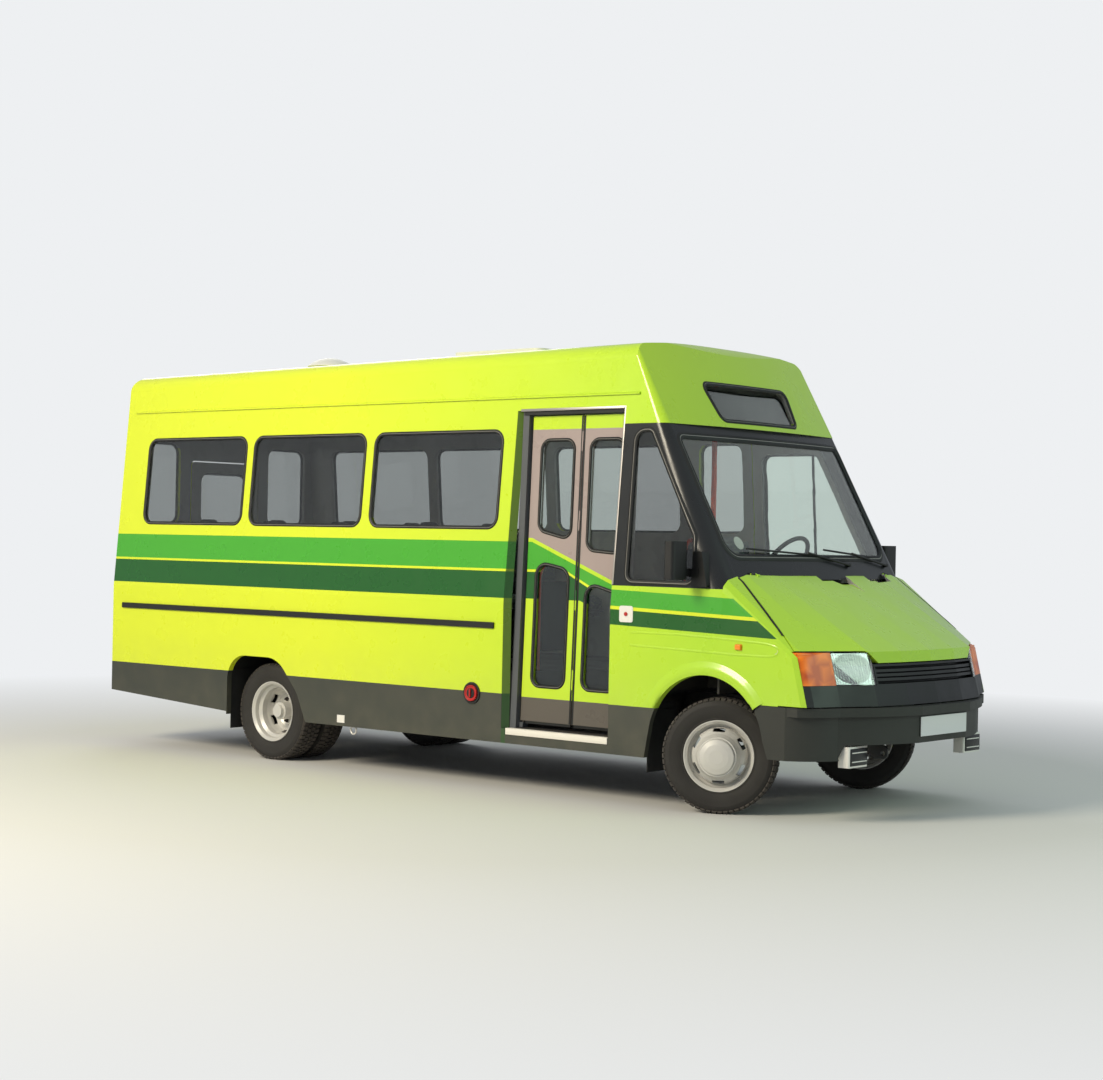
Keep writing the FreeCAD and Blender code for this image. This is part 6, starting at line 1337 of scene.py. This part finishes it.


# Painted shade: a black strip fills each gap beside the bonnet so that the gap reads dark.
for side, word in ((-1, "right"), (1, "left")):
    gap_shade_strip = ribbon(f"bonnet_gap_shade_strip_{word}", through([point[:2] for point in GAP_LINE]), 40, GAP_SHADE_PROFILE,
                  on_bonnet_gap(side))
    complete(gap_shade_strip, "body", "epdm_rubber", 50.0)
print("bonnet rubbers end", round(GAP_LINE[-1][0], 3), "m ahead")

# %% Driver's window bar and tax disc
bar = slab("driver_window_bar", (1.640, 0.975, 1.352), (1.658, 0.991, 2.128))
for vertex in bar.data.vertices:
    vertex.co.y = half_width(vertex.co.z) - (0.012 if vertex.co.y > 0.98 else 0.024)
round_edges(bar, 0.003, 2)
complete(bar, "driver_door", "satin_black_enamel")
disc = primitive(bpy.ops.mesh.primitive_cylinder_add, "tax_disc", vertices=40, radius=0.036, depth=0.002,
                 rotation=(math.pi / 2, 0, 0))
for vertex in disc.data.vertices:
    vertex.co = on_screen(-0.700 + vertex.co.x, 1.548 + vertex.co.z, -0.014 - vertex.co.y)
outward(disc)
complete(disc, "body", "lamp_case_white_abs")
print("disc behind the windscreen's lower right corner")

# %% Destination blind
blind = rounded_plate("destination_blind", grown(SIGN, 0.012), 6)
leave_edit()
modify(blind, "SOLIDIFY", thickness=0.01, offset=-1.0)
for vertex in blind.data.vertices:
    vertex.co.y += 0.045
lay(blind, on_dome)
complete(blind, "body", "moulded_grille_abs")
print("blind behind the dome glass")

# %% [markdown]
# ## Seats
# Each place has a foam squab and back under wool moquette. Foam bulges in the middle of each panel and is
# held down at its seams, so a box of the pad's size is filled by a cloth simulation with inner pressure. One
# squab and one back are filled; a groove is then pressed along their seams, and the other places are copies.

# %% Moquette
# Flecks lie about 17 mm apart; the pile is drawn at 1 mm, coarser than real wool, so that it shows.
tree, shader = finish_of("wool_moquette", "#3F4B4C", 0.9, Sheen_Weight=0.4)
where, _ = place_of(tree)
flecks = add(tree, "TexVoronoi", {"Vector": where, "Scale": 60.0}).outputs["Distance"]
pile = add(tree, "TexNoise", {"Vector": where, "Scale": 900.0, "Detail": 2.0}).outputs["Fac"]
fleck = add(tree, "Math", (flecks, 0.28), operation="LESS_THAN")
weave = add(tree, "Mix", {0: fleck, 6: "#3B4749", 7: "#6E7F55"}, data_type="RGBA")
shade = add(tree, "Math", (pile, 0.5), operation="MULTIPLY")
fill(tree, shader, "Base Color", add(tree, "Mix", {0: shade, 6: weave, 7: "#22292B"}, data_type="RGBA"))
fill(tree, shader, "Normal", add(tree, "Bump", {"Height": pile, "Distance": 0.0005, "Strength": 0.6}))
print("moquette:", len(tree.nodes), "nodes")

# %% Filling a pad
def fill_pad(pad, reach=0.024, pressure=4.0):
    """Remesh, inflate with cloth, and cap how far each point moves."""
    modify(pad, "REMESH", mode="VOXEL", voxel_size=0.006)
    rest = [vertex.co.copy() for vertex in pad.data.vertices]
    cloth = pad.modifiers.new("fill", "CLOTH")
    cloth.settings.use_pressure = True
    cloth.settings.uniform_pressure_force = pressure
    cloth.settings.effector_weights.gravity = 0.0
    for frame_number in range(1, 21):
        bpy.context.scene.frame_set(frame_number)
    filled = pad.evaluated_get(bpy.context.evaluated_depsgraph_get())
    moved = [vertex.co.copy() for vertex in filled.data.vertices]
    pad.modifiers.remove(cloth)
    bpy.context.scene.frame_set(1)
    for vertex, start, end in zip(pad.data.vertices, rest, moved):
        step = end - start
        vertex.co = start + step * min(1.0, reach / max(step.length, 1e-9))


def seam(pad, axis, place, depth=0.007, width=0.010):
    """Press a groove round a pad across one axis."""
    middle = sum((vertex.co for vertex in pad.data.vertices), Vector()) / len(pad.data.vertices)
    for vertex in pad.data.vertices:
        near = math.exp(-((vertex.co[axis] - place) / width) ** 2)
        inwards = middle - vertex.co
        inwards[axis] = 0.0
        vertex.co += inwards.normalized() * depth * near


squab = slab("seat_squab_model", (0.010, -0.174, 0.008), (0.406, 0.174, 0.070))
fill_pad(squab)
for place in (0.060, 0.300):
    seam(squab, 0, place)
for vertex in squab.data.vertices:
    vertex.co.z = max(vertex.co.z, 0.0)
back = slab("seat_back_model", (0.012, -0.174, 0.012), (0.060, 0.174, 0.430))
fill_pad(back, 0.022)
for place in (0.120, 0.330):
    seam(back, 2, place)
back.data.transform(Matrix.Rotation(math.radians(-8.0), 4, "Y"))
for pad in (squab, back):
    modify(pad, "DECIMATE", ratio=min(1.0, 3000 / len(pad.data.polygons)))
print("squab triangles:", sum(len(face.vertices) - 2 for face in squab.data.polygons))

# %% Seats in their places
SEATS = [(x, side * y, 1.0, 1.0) for x in (-2.840, -2.080, -1.320, -0.560) for side in (-1, 1)
         for y in (0.3695, 0.7405)]
SEATS.append((1.310, 0.460, 1.30, 1.15))
for i, (x, y, wide, deep) in enumerate(SEATS):
    for model, word, place in ((squab, "squab", (x + 0.079, y, 1.060)), (back, "back", (x, y, 1.130))):
        depth = deep if word == "squab" else 1.0
        pad = twin(model, f"seat_{word}_{i}", shift(*place) @ Matrix.Diagonal((depth, wide, 1.0, 1.0)))
        complete(pad, "body", "wool_moquette", 80.0)
        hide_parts("seat_cushions")
for model in (squab, back):
    bpy.data.objects.remove(model)
print("seats:", len(SEATS))
